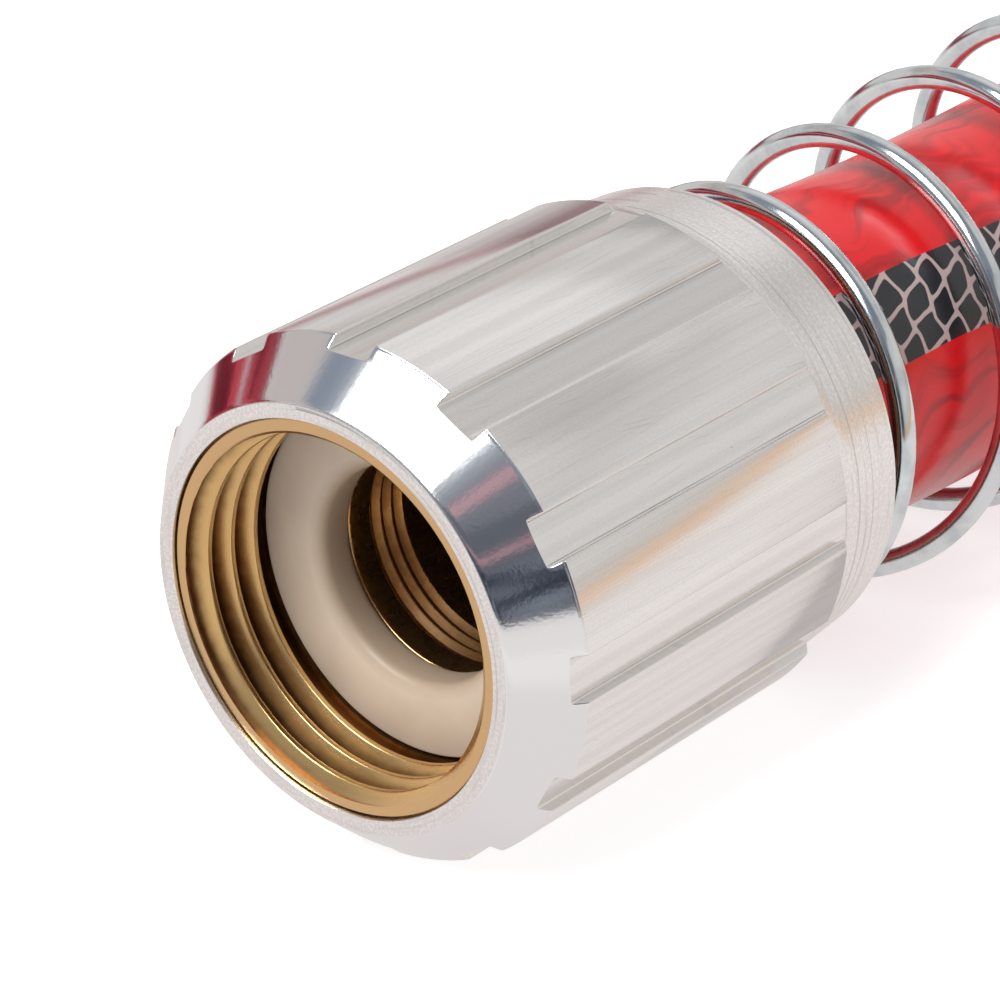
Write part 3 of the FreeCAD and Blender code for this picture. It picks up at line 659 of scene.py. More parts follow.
def fluted_section(radius):
    """Twelve flutes and lands as (height, side) columns for each row radius.

    Across a flute the circle's height is sqrt(R^2 - t^2). The wall between land and floor is that height
    less the floor's, and both its corners are quarter circles no larger than half of the wall.
    """
    radius = radius[:, None]
    quarter = np.radians([0, 25, 50, 72, 90])
    top_t = FLUTE_HALF + HAIR + LAND_EDGE * (1 - np.cos(quarter))
    low_t = FLUTE_HALF - FLOOR_EDGE * (1 - np.sin(quarter))
    floor_t = np.linspace(-1, 1, 9)[1:-1] * (FLUTE_HALF - FLOOR_EDGE)
    wall = np.maximum(np.sqrt(radius**2 - FLUTE_HALF**2) - FLUTE_FLOOR, 0)
    top_h = np.sqrt(radius**2 - top_t**2) - np.minimum(LAND_EDGE, wall / 2) * (1 - np.sin(quarter))
    low_h = np.minimum(FLUTE_FLOOR, np.sqrt(radius**2 - low_t**2))
    low_h = low_h + np.minimum(FLOOR_EDGE, wall / 2) * (1 - np.cos(quarter))
    floor_h = np.minimum(FLUTE_FLOOR, np.sqrt(radius**2 - floor_t**2))
    edge = np.arcsin((FLUTE_HALF + HAIR + LAND_EDGE) / radius)
    land = edge + (2 * math.pi / FLUTES - 2 * edge) * np.linspace(0, 1, 21)[1:-1]
    high = [top_h[:, ::-1], low_h[:, ::-1], floor_h, low_h, top_h, radius * np.cos(land)]
    side = [t * np.ones_like(radius) for t in (-top_t[::-1], -low_t[::-1], floor_t, low_t, top_t)]
    return np.concatenate(high, 1), np.concatenate(side + [radius * np.sin(land)], 1)


print("flute, wide and deep in mm:", round(2 * FLUTE_HALF / mm, 2), round((LAND_R - FLUTE_FLOOR) / mm, 2))

# %% [markdown]
# ## The outline of a grip
#
# The lathe cuts the chamfer through lands and flutes alike, which leaves the row of notches along its
# edge, and turns the rear band just below the flute floors. The outline is a list of rows, close together
# where a cut crosses the flute floors, and every face gets the number of the finish that its last tool
# left. That gives the notches and the finishes one and the same edge.

# %% Outline and finishes of a grip
CHAMFER = 4.00 * mm
RIM_R = 15.04 * mm
LAND_END_FROM_REAR = 7.60 * mm
LAND_BEVEL = 0.90 * mm
BAND_R = 17.60 * mm
BAND_REAR_R = 17.09 * mm
REAR_EDGE = 0.25 * mm
RIM_END = 0.04 * mm  # the rows in front of it are the flat rim


def grip_outline(length, bore):
    """Rows from the rim along the outside to the rear, then the bore back to the rim.

    Rows lie close where the chamfer and the bevel cut through the flute floors, to keep the notch crisp.
    """
    land_end = length - LAND_END_FROM_REAR
    cut_r = np.linspace(FLUTE_FLOOR - 0.03 * mm, FLUTE_FLOOR + 0.32 * mm, 22)
    notch = (cut_r - RIM_R) / (LAND_R - RIM_R) * CHAMFER
    before, after = np.linspace(0.12 * mm, notch[0], 14)[:-1], np.linspace(notch[-1], 3.9 * mm, 8)[1:]
    front = [(x, RIM_R + x / CHAMFER * (LAND_R - RIM_R)) for x in (*before, *notch, *after)]
    corner = rounded([(0, 0), (CHAMFER, LAND_R, 0.12 * mm), (length, LAND_R)])[2:-1].tolist()
    bevel_x = np.linspace(land_end + 0.06 * mm, land_end + LAND_BEVEL - 0.02 * mm, 24)
    bevel = [(x, LAND_R - (x - land_end) / LAND_BEVEL * (LAND_R - BAND_R)) for x in bevel_x]
    band = np.linspace(land_end + LAND_BEVEL + 0.02 * mm, length - REAR_EDGE, 7)
    slope = (BAND_REAR_R - BAND_R) / (length - REAR_EDGE - land_end - LAND_BEVEL)
    rear = [(x, BAND_R + slope * (x - land_end - LAND_BEVEL)) for x in band]
    rear += [(length - 0.08 * mm, BAND_REAR_R - 0.17 * mm), (length, BAND_REAR_R - REAR_EDGE)]
    rim = [(0.02 * mm, RIM_R - 0.03 * mm), (0.05 * mm, RIM_R + 0.02 * mm)]
    return np.array(rim + front + corner + [(land_end - 0.03 * mm, LAND_R)] + bevel + rear + bore)


def finish_slots(outline, bore, length, section_r):
    """0 extruded, 1 polished, 2 turned: by x along the outside, and extruded where a flute lies deeper."""
    x = outline[:, 0]
    outer = np.arange(len(x)) < len(x) - len(bore)
    slots = np.where(outer & (x > RIM_END) & (x < CHAMFER - 0.01 * mm), 1, 0)
    slots[(x >= length - LAND_END_FROM_REAR) | ~outer | (x <= RIM_END)] = 2
    sunk = outline[:, 1:] - section_r > 0.03 * mm
    sunk = sunk | np.roll(sunk, -1, 1)
    slots = np.repeat(slots[:, None], sunk.shape[1], 1)
    slots[sunk & (x < length - LAND_END_FROM_REAR + LAND_BEVEL)[:, None] & outer[:, None]] = 0
    return slots


print("rows along the outside of a grip:", len(grip_outline(40 * mm, [])))

# %% [markdown]
# ## A whole grip
#
# Both grips are made alike and differ in length, bore and place, so one function makes them. It works
# out the section at every row of the outline and sets it round the axis flute by flute, so the same
# columns of points run from the rim to the rear and back through the bore.

# %% A whole grip
FLUTE_FIRST = math.radians(87.5)
MAP_ROW = 20  # the chamfer's row whose angles give every row its map


def fluted_grip(name, length, bore, shift, body):
    """The section of each outline row, set round the axis flute by flute."""
    outline = grip_outline(length, bore)
    high, side = fluted_section(outline[:, 1])
    turn = FLUTE_FIRST + np.arange(FLUTES) * 2 * math.pi / FLUTES
    cos, sin = np.cos(turn)[None, :, None], np.sin(turn)[None, :, None]
    across = high[:, None, :] * cos - side[:, None, :] * sin
    upward = high[:, None, :] * sin + side[:, None, :] * cos
    rows = len(outline)
    x = np.broadcast_to(outline[:, :1], (rows, high.shape[1] * FLUTES))
    points = np.stack([x, across.reshape(rows, -1), upward.reshape(rows, -1)], 2) + np.array(shift)
    one = np.arctan2(side[MAP_ROW], high[MAP_ROW]) * LAND_R
    map_u = (one[None, :] + (turn - FLUTE_FIRST)[:, None] * LAND_R).ravel()
    map_u = np.append(map_u, map_u[0] + 2 * math.pi * LAND_R)
    slots = finish_slots(outline, bore, length, np.tile(np.hypot(high, side), (1, FLUTES)))
    materials = [EXTRUDED, POLISHED, TURNED]
    return grid_piece(name, points, materials, map_u, run_lengths(outline), True, slots, body)


print("columns round a grip:", fluted_section(np.array([LAND_R]))[0].size * FLUTES)

# %% [markdown]
# ## The grip shell
#
# The bore of the grip is stepped: an inward lip at the mouth stops the nut, the nut is pressed in behind
# it, and the wider rear clears the ferrule and the spring's front turns. The outline of the bore runs
# from the rear to the mouth, so that it follows on from the outside.

# %% Grip shell
SHELL_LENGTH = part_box("grip_shell")[1].x
LIP, LIP_R = 0.90 * mm, 13.90 * mm
NUT_R, NUT_REAR = 15.20 * mm, 15.61 * mm
SHELL_REAR_R = 16.40 * mm
BROKEN = 0.05 * mm  # small broken edges
shell_bore = [
    (SHELL_LENGTH, SHELL_REAR_R + BROKEN),
    (SHELL_LENGTH - BROKEN, SHELL_REAR_R),
    (NUT_REAR, SHELL_REAR_R),
    (NUT_REAR, NUT_R),
    (LIP, NUT_R),
    (LIP, LIP_R),
    (BROKEN, LIP_R),
    (0, LIP_R + BROKEN),
    (0, RIM_R - 0.08 * mm),
]
shell = fluted_grip("fluted_shell", SHELL_LENGTH, shell_bore, (0, 0, 0), "coupling")
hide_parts("grip_shell")

# %% [markdown]
# ## The thread
#
# The thread is a hose thread, 11.5 turns to the inch. A helix swept with a tooth shape would need
# cutting from a blank, so instead the radius is worked out at each point of the bore: the larger of the
# plain bore and the groove's own radius there. The groove's middle moves along the axis by one pitch a
# turn, and its sides slope at 30 degrees.

# %% Thread
PITCH = 25.4 / 11.5 * mm
THREAD_DEPTH = 1.32 * mm
ROOT_HALF = 0.15 * mm
SLOPE = math.tan(math.radians(30))


def groove_depth(x, angle, start):
    """How deep the groove is at a place: full within its flat foot, less by 1 / tan 30 beyond it.

    The distance to the groove's middle is the remainder of x - start - pitch (angle + 90) / 360.
    """
    phase = (x - start) / PITCH - (angle + math.pi / 2) / (2 * math.pi)
    apart = np.abs(phase - np.round(phase)) * PITCH
    return THREAD_DEPTH - np.maximum(apart - ROOT_HALF, 0) / SLOPE


def soft_larger(a, b, width=0.05 * mm):
    """The larger of two numbers, rounded where they cross."""
    return (a + b + np.sqrt((a - b) ** 2 + width**2)) / 2


print("thread pitch mm", round(PITCH / mm, 3))

# %% [markdown]
# ## Machined brass
#
# Free-cutting brass comes off the lathe bright and warm, and soon dulls to brown where no tool or thumb
# reaches. On a turned piece those places are told apart by their radius, so one function makes each
# brass of this part from two tones and the radii between which one turns into the other.

# %% Machined brass
def machined_brass(name, bright, dull, bright_r, dull_r, plain_x=-1.0, plain="#DFBA88"):
    """Free-cutting brass: bright up to one radius, dull past another, fine tool rings everywhere.

    In front of plain_x it has the plain tone whatever its radius.
    """
    material, tree = new_material(name)
    place = add(tree, "TexCoord", out="Object")
    x, radius = from_axis(tree, place)
    noise = add(tree, "TexNoise", place, 0.9 / mm, 3.0)
    uneven = add(tree, "Math.SUBTRACT", noise, 0.5)
    uneven = add(tree, "Math.MULTIPLY_ADD", uneven, 0.5 * mm, radius)
    behind = add(tree, "MapRange", x, plain_x, plain_x + 0.4 * mm)
    depth = product(tree, add(tree, "MapRange", uneven, bright_r, dull_r), behind)
    tone = add(tree, "Mix", behind, plain, add(tree, "Mix", depth, bright, dull))
    rings = streaks(tree, add(tree, "CombineXYZ", x, radius), 0.06 * mm, 0.06 * mm, 2.0)
    height = weighted(tree, (rings, 1.0), (noise, 0.6))
    roughness = add(tree, "Math.MULTIPLY_ADD", depth, 0.10, 0.27)
    coat(tree, tone, roughness, height, 0.003 * mm, Metallic=1.0)
    return material


THREAD_BRASS = machined_brass("machined_brass_thread", "#E2BC80", "#705030", 12.5 * mm, 13.6 * mm, 0.6 * mm)
print(THREAD_BRASS.name, "has", len(THREAD_BRASS.node_tree.nodes), "nodes")

# %% [markdown]
# ## The swivel nut
#
# The nut is a brass ring pressed into the grip. Its bore carries the thread in front, then a relief where
# the threading tool ran out, and behind that the room for the washer and the stem's flange. It is one
# closed outline carried round the axis, and only the rows of the thread change their radius on the way.

# %% Swivel nut
NUT_FRONT = 0.31 * mm
CREST_R = 12.30 * mm
CREST_START, CREST_END = 1.01 * mm, 6.91 * mm
RELIEF_END, RELIEF_R = 7.81 * mm, 13.74 * mm
SEAT_END, SEAT_R = 13.31 * mm, 13.1 * mm  # the room behind the thread, for the washer and the flange
NUT_REAR_BORE_R = 10.0 * mm
SPIGOT_R = 13.78 * mm
RING_R = 13.00 * mm
PRESS_GAP = 0.05 * mm  # keeps the nut's wall off the grip's bore, so that the two never flicker
NUT_STEPS = 240


def nut_points():
    """The nut's closed outline with its bore deepened by the thread."""
    body_r = NUT_R - PRESS_GAP
    hidden = rounded([
        (LIP, SPIGOT_R), (LIP, body_r), (NUT_REAR, body_r, 0.2 * mm), (NUT_REAR, NUT_REAR_BORE_R, 0.1 * mm),
        (SEAT_END, NUT_REAR_BORE_R), (SEAT_END, SEAT_R), (RELIEF_END, SEAT_R), (RELIEF_END, RELIEF_R),
        (CREST_END, RELIEF_R),
    ])
    x = np.linspace(CREST_END, NUT_FRONT + 0.04 * mm, 180)
    plain = np.where(x < CREST_START, CREST_R + (CREST_START - x), CREST_R)
    front = np.array([
        (NUT_FRONT, RING_R + 0.05 * mm),
        (NUT_FRONT, SPIGOT_R - 0.06 * mm),
        (NUT_FRONT + 0.06 * mm, SPIGOT_R),
    ])
    outline = np.vstack([hidden, np.stack([x, plain], 1), front])
    angles = turn_steps(NUT_STEPS)[:-1]
    r = np.repeat(outline[:, 1:], NUT_STEPS, 1)
    rows = slice(len(hidden), len(hidden) + len(x))
    groove = CREST_R + groove_depth(x[:, None], angles[None], NUT_FRONT - PITCH)
    r[rows] = soft_larger(r[rows], groove)
    return around(outline, angles, r), outline


points, outline = nut_points()
map_u = turn_steps(NUT_STEPS) * CREST_R
nut = grid_piece("brass_nut", points, [THREAD_BRASS], map_u, run_lengths(outline), True, None, "coupling")
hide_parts("swivel_nut")

# %% [markdown]
# ## The washer
#
# A moulded washer, soft and slightly see-through, so light creeps a little way in and its edges never
# look hard. A fine dust of darker specks, a wide rounded hole and painted shade towards the hole are all
# the detail that it has.

# %% Washer
WASHER_HOLE_R, WASHER_R = 7.70 * mm, 12.80 * mm
WASHER_REAR = 11.01 * mm


def soft_washer():
    """Cream moulded elastomer: matt, some light creeping in, few fine specks, painted shade by the hole."""
    material, tree = new_material("cream_elastomer")
    place = add(tree, "TexCoord", out="Object")
    _, radius = from_axis(tree, place)
    cloud = add(tree, "TexNoise", place, 0.18 / mm, 3.0)
    dust = product(tree, specks(tree, place, 0.9 * mm, 0.09 * mm), 0.7)
    # The ramp by radius is painted shade: darker towards the hole, where the rounded lip turns away.
    tone = layered(
        tree, "#CBBAA7", (add(tree, "MapRange", cloud, 0.3, 0.7), "#C1B09D"),
        (add(tree, "MapRange", radius, 8.9 * mm, 7.8 * mm), "#AC9984"), (dust, "#7A6A58"),
    )
    creep = {
        "Subsurface Weight": 0.25,
        "Subsurface Radius": (1.0, 0.8, 0.6),
        "Subsurface Scale": 0.8 * mm,
    }
    coat(tree, tone, 0.42, add(tree, "TexNoise", place, 2.6 / mm, 2.0), 0.006 * mm, **creep)
    return material


washer = turned("tap_washer", [
    (RELIEF_END, WASHER_HOLE_R, 0.80 * mm), (RELIEF_END, WASHER_R, 0.15 * mm),
    (WASHER_REAR, WASHER_R, 0.15 * mm), (WASHER_REAR, WASHER_HOLE_R, 0.80 * mm),
], [soft_washer()], body="coupling")
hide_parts("hose_washer")

# %% [markdown]
# ## The stem
#
# The stem is the brass tube that the nut turns on. Its bore carries a few shallow rings that catch the
# light beyond the washer, and then goes dark inside the hose. Behind the nut its barbs hold the hose.
# It is plain lathe work, so its outline is written as corners with their radii.

# %% Stem
BORE_BRASS = machined_brass("dull_brass_bore", "#E8C48E", "#B08A60", 8.15 * mm, 8.6 * mm)
STEM_FRONT, STEM_NECK = 11.11 * mm, 13.21 * mm
FLANGE_R, NECK_R, SHANK_R, BARB_R = 12.6 * mm, 9.92 * mm, 9.2 * mm, 9.85 * mm
FERRULE_X, HOSE_START, HOSE_EXIT = 17.11 * mm, 18.31 * mm, 37.11 * mm
SHANK_END = HOSE_EXIT - 1.0 * mm
BARB_STEP, RING_STEP = 3.6 * mm, 1.1 * mm
STEM_BORE_R = 8.20 * mm


def barbs():
    """Saw teeth along the shank: five rises, each with a straight drop behind it."""
    drops = [(FERRULE_X + BARB_STEP * k) for k in range(1, 6)]
    teeth = [corner for x in drops for corner in ((x, BARB_R, 0.06 * mm), (x, SHANK_R, 0.1 * mm))]
    return [(FERRULE_X, SHANK_R, 0.1 * mm)] + teeth + [(SHANK_END, SHANK_R, 0.2 * mm)]


def bore_rings():
    """Three shallow V grooves, listed from the tail towards the mouth."""
    rings = []
    for k in (2, 1, 0):
        x = STEM_NECK + k * RING_STEP
        rings.append((x + RING_STEP, STEM_BORE_R, 0.08 * mm))
        rings.append((x + RING_STEP / 2, STEM_BORE_R + 0.4 * mm, 0.12 * mm))
    return rings


stem = turned("barbed_stem", [
    (STEM_FRONT, FLANGE_R, 0.1 * mm), (STEM_NECK, FLANGE_R, 0.1 * mm),
    (STEM_NECK, NECK_R), (FERRULE_X, NECK_R, 0.05 * mm),
] + barbs() + [(SHANK_END, STEM_BORE_R, 0.2 * mm)] + bore_rings() + [
    (STEM_NECK, STEM_BORE_R, 0.08 * mm), (STEM_FRONT, STEM_BORE_R, 0.15 * mm),
], [BORE_BRASS], segments=192)
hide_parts("tail_stem")

# %% [markdown]
# ## The ferrule
#
# The ferrule is a brass tube squeezed on with a ring of dies, which leaves three shallow waists. Its wall
# keeps its thickness in the squeeze, so the same dips are laid on its outside and on its bore.

# %% Ferrule
FERRULE_BRASS = machined_brass("drawn_brass", "#CDAE84", "#BF9B6C", 13.0 * mm, 14.2 * mm)
FERRULE_R, FERRULE_BORE_R, FERRULE_LIP_R = 14.2 * mm, 12.9 * mm, 9.5 * mm


def waists(radius):
    """Three shallow dips along the ferrule."""
    room_each = (HOSE_EXIT - HOSE_START) / 3
    dips = []
    for k in range(3):
        middle = HOSE_START + (k + 0.5) * room_each
        for reach, drop in ((-1.3, 0), (-0.9, 0.4), (0.9, 0.4), (1.3, 0)):
            dips.append((middle + reach * mm, radius - drop * mm, 0.2 * mm))
    return dips


def ferrule(name, shift):
    """The crimped tube: waisted outside and inside alike, with its lip round the shank."""
    outside = [(FERRULE_X, FERRULE_R, 0.3 * mm)] + waists(FERRULE_R) + [(HOSE_EXIT, FERRULE_R, 0.3 * mm)]
    inside = [(HOSE_START, FERRULE_BORE_R)] + waists(FERRULE_BORE_R)
    inside.append((HOSE_EXIT, FERRULE_BORE_R, 0.2 * mm))
    lip = [(HOSE_START, FERRULE_LIP_R), (FERRULE_X, FERRULE_LIP_R)]
    return turned(name, outside + inside[::-1] + lip, [FERRULE_BRASS], segments=128, shift=shift)


near_ferrule = ferrule("near_ferrule", (0, 0, 0))
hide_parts("crimp_ferrule")

# %% [markdown]
# ## The line of the spring
#
# An open spring keeps the hose from kinking. It is wound left-handed: close turns grip the ferrule
# inside the shell, seven open turns follow the hose, and the last ones close again. A screw modifier
# gives one even pitch only, so the wire's centre line is worked out as a formula of the turn number.

# %% Line of the spring
GRIP_R, GUARD_R = 15.15 * mm, 15.45 * mm
GUARD_PITCH, CLOSED_PITCH = 13.1 * mm, 2.4 * mm
GUARD_TOP = SHELL_LENGTH + 6.60 * mm
OPEN_TURNS = 7.0
FIRST_TURN, LAST_TURN = -3.0, OPEN_TURNS + 1.5
LEAN, SINK = 0.43 * mm, 1.35 * mm  # how the open turns sit off the axis
RISE, RISE_RUN = 1.40 * mm, 50 * mm  # then the hose lifts them over this run
DROOP, DROOP_FROM, DROOP_RUN = 3.10 * mm, 35 * mm, 65 * mm  # and lets them down further back


def smooth(value):
    """0 below 0, 1 above 1, and 3 t^2 - 2 t^3 between them."""
    t = np.clip(value, 0, 1)
    return t * t * (3 - 2 * t)


def closing(turns):
    """Travel along X while the pitch falls evenly from open to closed over half a turn, then stays."""
    t = np.clip(turns, 0, 0.5)
    falling = GUARD_PITCH * t - (GUARD_PITCH - CLOSED_PITCH) * t * t
    return falling + CLOSED_PITCH * np.maximum(turns - 0.5, 0)


def guard_centre(turn):
    """The wire's centre: a helix that widens behind the shell, leans a little and hangs with the hose."""
    x = GUARD_TOP + GUARD_PITCH * np.clip(turn, -0.5, OPEN_TURNS)
    x = x - closing(-0.5 - np.minimum(turn, -0.5)) + closing(np.maximum(turn, OPEN_TURNS) - OPEN_TURNS)
    free = smooth((x - SHELL_LENGTH) / (GUARD_TOP - SHELL_LENGTH))
    rise = smooth((x - GUARD_TOP) / RISE_RUN)
    droop = smooth((x - GUARD_TOP - DROOP_FROM) / DROOP_RUN)
    radius = GRIP_R + (GUARD_R - GRIP_R) * free
    angle = 2 * math.pi * turn
    y = LEAN * free + radius * np.sin(angle)
    z = RISE * rise - SINK * free - DROOP * droop + radius * np.cos(angle)
    return np.stack([x, y, z], 1), np.stack([0 * x, np.sin(angle), np.cos(angle)], 1)


print("open turns reach back to mm", round((GUARD_TOP + OPEN_TURNS * GUARD_PITCH) / mm, 1))

# %% [markdown]
# ## A tube along a line
#
# The wire and the hose are both round tubes along a line. A curve with a bevel gives such a tube too,
# but not a map of real lengths, nor a say in where the map's seam runs. Here a direction that is known
# at every point, such as the one away from the hose, gives each ring of points its twist.

# %% A tube along a line
def tube_points(path, outward, radius, sides):
    """Rings round a path: the first axis is outward made square to the path, the second square to both."""
    way = np.gradient(path, axis=0)
    way /= np.linalg.norm(way, axis=1)[:, None]
    first = outward - np.einsum("ij,ij->i", outward, way)[:, None] * way
    first /= np.linalg.norm(first, axis=1)[:, None]
    second = np.cross(way, first)
    angle = turn_steps(sides)[:-1]
    ring = first[:, None] * np.cos(angle)[None, :, None] + second[:, None] * np.sin(angle)[None, :, None]
    return path[:, None] + ring * radius


def walked(path):
    """The length from the start to each point of a path."""
    return np.concatenate([[0], np.cumsum(np.linalg.norm(np.diff(path, axis=0), axis=1))])


def onward(end, before, length):
    """The point this far past a path's end, straight on."""
    return end + (end - before) / np.linalg.norm(end - before) * length


print("a path of 3 and then 4 has the length", walked(np.array([(0, 0), (3, 0), (3, 4)]))[-1])

# %% [markdown]
# ## The spring bend guard
#
# Spring wire is drawn through a die and zinc plated in a barrel. The plating is bright with a cold tint
# and keeps faint lines of the drawing along the wire. Its ends run out straight for one thickness of
# the wire and are cut square, as cutters leave them.

# %% Spring bend guard
WIRE_R, WIRE_SIDES = 0.90 * mm, 20


def zinc_plate():
    """Bright zinc on drawn wire: cold grey, clear reflections, faint lines along it, small dull spots."""
    material, tree = new_material("bright_zinc_plate")
    lines = streaks(tree, add(tree, "UVMap", uv_map="surface"), 0.22 * mm, 12 * mm, 1.0)
    cloud = add(tree, "TexNoise", add(tree, "TexCoord", out="Object"), 0.42 / mm, 3.0)
    tone = add(tree, "Mix", add(tree, "MapRange", cloud, 0.4, 0.7), "#E2E8EA", "#CBD3D8")
    roughness = add(tree, "Math.MULTIPLY_ADD", cloud, 0.08, 0.08)
    coat(tree, tone, roughness, lines, 0.0012 * mm, Metallic=1.0)
    return material


wire, outward = guard_centre(np.linspace(FIRST_TURN, LAST_TURN, 1000))
front, rear = onward(wire[0], wire[1], 2 * WIRE_R), onward(wire[-1], wire[-2], 2 * WIRE_R)
wire = np.vstack([front, wire, rear])
outward = np.vstack([outward[0], outward, outward[-1]])
points = tube_points(wire, outward, WIRE_R, WIRE_SIDES)
guard = grid_piece("bend_guard", points, [zinc_plate()], turn_steps(WIRE_SIDES) * WIRE_R, walked(wire))
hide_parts("spring_guard")
print("spring wire length mm", round(walked(wire)[-1] / mm))

# %% [markdown]
# ## The hose
#
# The hose is one length of rubber, 25 mm thick and about 2.43 m long. It leaves the ferrule straight,
# sinks gently to the surface it lies on, winds into two and a half loops in two layers and comes back
# down beside them. A smooth NURBS line through a few chosen points is how such a thing lies; the turns
# of the coil are worked out by a loop with 24 points a turn, set out a little so that the line between
# them lies on the coil's true radius.

# %% Route of the hose
HOSE_R = 12.5 * mm
STRAP_THICK, STRAP_GAP = 1.2 * mm, 0.3 * mm
LAID_Z = FLOOR_Z + STRAP_THICK + STRAP_GAP + HOSE_R
LEAD = np.array([
    (HOSE_EXIT, 0, 0), (0.047, 0, 0), (0.067, 0, -0.0014), (0.092, 0, -0.0010),
    (0.140, -0.0003, -0.0029), (0.187, -0.0012, LAID_Z), (0.215, -0.0012, LAID_Z),
])
COIL_TURNS, COIL_STEP, COIL_LAYER = 2.5, 0.026, 0.026
COIL_OUTER = 0.129 + COIL_STEP * COIL_TURNS / 4
END_RUN = 2 * HOSE_R
INWARD = math.atan(COIL_STEP / (2 * math.pi * COIL_OUTER))
TURNS = COIL_TURNS + INWARD / math.pi
FIRST = math.pi / 2 + INWARD
coil_start = LEAD[-1] + np.array([END_RUN, 0, 0])
COIL_CENTRE = coil_start - COIL_OUTER * np.array([math.cos(FIRST), math.sin(FIRST), 0])
POINTS_A_TURN = 24
TAIL_DROP = LAID_Z + COIL_LAYER
TAIL = [(28, 0.0), (64, 0.26), (100, 0.71), (134, 1.0), (162, 1.0)]  # mm along, share of the drop


def coil_point(turn, reach=1.0):
    """A spiral that winds in to its middle turn and out again, climbing one layer where it reverses."""
    half = TURNS / 2
    radius = (COIL_OUTER - COIL_STEP * (half - abs(turn - half))) * reach
    angle = FIRST - 2 * math.pi * turn
    rise = COIL_LAYER * float(smooth((turn - half) / 0.5 + 0.5))
    return COIL_CENTRE + np.array([radius * math.cos(angle), radius * math.sin(angle), rise])


def spline_points(points, name):
    """The line of an open NURBS spline of order 3 through these control points, read from a plain curve."""
    curve = bpy.data.curves.new(name, "CURVE")
    curve.dimensions = "3D"
    spline = curve.splines.new("NURBS")
    spline.points.add(len(points) - 1)
    spline.points.foreach_set("co", np.column_stack([points, np.ones(len(points))]).ravel())
    spline.order_u = 3
    spline.use_endpoint_u = True
    spline.resolution_u = 16
    holder = bpy.data.objects.new(name, curve)
    bpy.context.scene.collection.objects.link(holder)
    bpy.context.view_layer.update()
    line = bpy.data.meshes.new_from_object(holder.evaluated_get(bpy.context.evaluated_depsgraph_get()))
    found = np.zeros(len(line.vertices) * 3)
    line.vertices.foreach_get("co", found)
    bpy.data.meshes.remove(line)
    bpy.data.objects.remove(holder)
    return found.reshape(-1, 3)


steps = round(TURNS * POINTS_A_TURN)
coil = [coil_point(TURNS * k / steps, 1 / math.cos(math.pi / POINTS_A_TURN)) for k in range(1, steps)]
coil_end = coil_point(TURNS)
tail_start = coil_end + np.array([-END_RUN, 0, 0])
tail = [tail_start - np.array([along * mm, 0, TAIL_DROP * share]) for along, share in TAIL]
route = np.vstack([LEAD, coil_start, coil, coil_end, tail_start, tail])
line = spline_points(route, "hose_route")
print("hose length m", round(walked(line)[-1], 4), "route points", len(route))

# %% [markdown]
# ## The net on the stripe
#
# A black stripe along the hose carries a pale printed net of uneven cells. A cell texture would give
# such a net in one node, but its cells have no rows, and the print has. So the net is worked out: bent
# lines across the stripe, one cell apart, with staggered links between them.

# %% Net on the stripe
CELL, CELL_WIDTH = 2.5 * mm, 2.3 * mm
LINE_WIDTH = 0.34 * mm
NODE_WIDTH = 0.22 * mm  # how far a line thickens where it meets another


def net_lines(tree, along, across):
    """Lines about a stripe, 1 on a line: bent cross lines a cell apart, and staggered links between them.

    along and across count cells. The bend is a triangle wave, |fract(across / 2) - 0.5|. A link lies half
    a cell further on in every other gap and slants a little. The smaller distance is rounded where two
    lines meet, which thickens the nodes.
    """
    bend = off_middle(tree, product(tree, across, 0.5))
    gap = add(tree, "Math.MULTIPLY_ADD", bend, 0.40, along)
    to_cross = add(tree, "Math.SUBTRACT", 0.5, off_middle(tree, gap))
    to_cross = product(tree, to_cross, CELL)
    stagger = product(tree, add(tree, "Math.MODULO", add(tree, "Math.FLOOR", gap), 2.0), 0.5)
    slant = add(tree, "Math.MULTIPLY_ADD", add(tree, "Math.FRACT", gap), 0.35, stagger)
    to_link = product(tree, off_middle(tree, add(tree, "Math.ADD", across, slant)), CELL_WIDTH)
    differ = add(tree, "Math.SUBTRACT", to_cross, to_link)
    root = add(tree, "Math.SQRT", add(tree, "Math.MULTIPLY_ADD", differ, differ, NODE_WIDTH**2))
    nearest = add(tree, "Math.SUBTRACT", add(tree, "Math.ADD", to_cross, to_link), root)
    return add(tree, "MapRange", product(tree, nearest, 0.5), LINE_WIDTH * 0.55, LINE_WIDTH * 0.30)


print("cells of the net, long and wide in mm:", round(CELL / mm, 2), round(CELL_WIDTH / mm, 2))

# %% [markdown]
# ## The hose's cover
#
# The cover is extruded rubber, glossy as a wet surface, and its long flow lines make the reflections
# waver. The black stripe runs along one side, and a dark patch beside it by the grip is painted shade,
# where the grip and the spring's first turn shade the hose. The tube's own map gives lengths round and
# along it, so the stripe is a range of the first and the patch a range of both.

# %% Hose cover
STRIPE_FROM, STRIPE_TO = math.radians(127), math.radians(157)
# Where the painted shade behind the grip ends, as a length along the hose.
PAINTED_SHADE_END = SHELL_LENGTH - HOSE_EXIT + 4 * mm


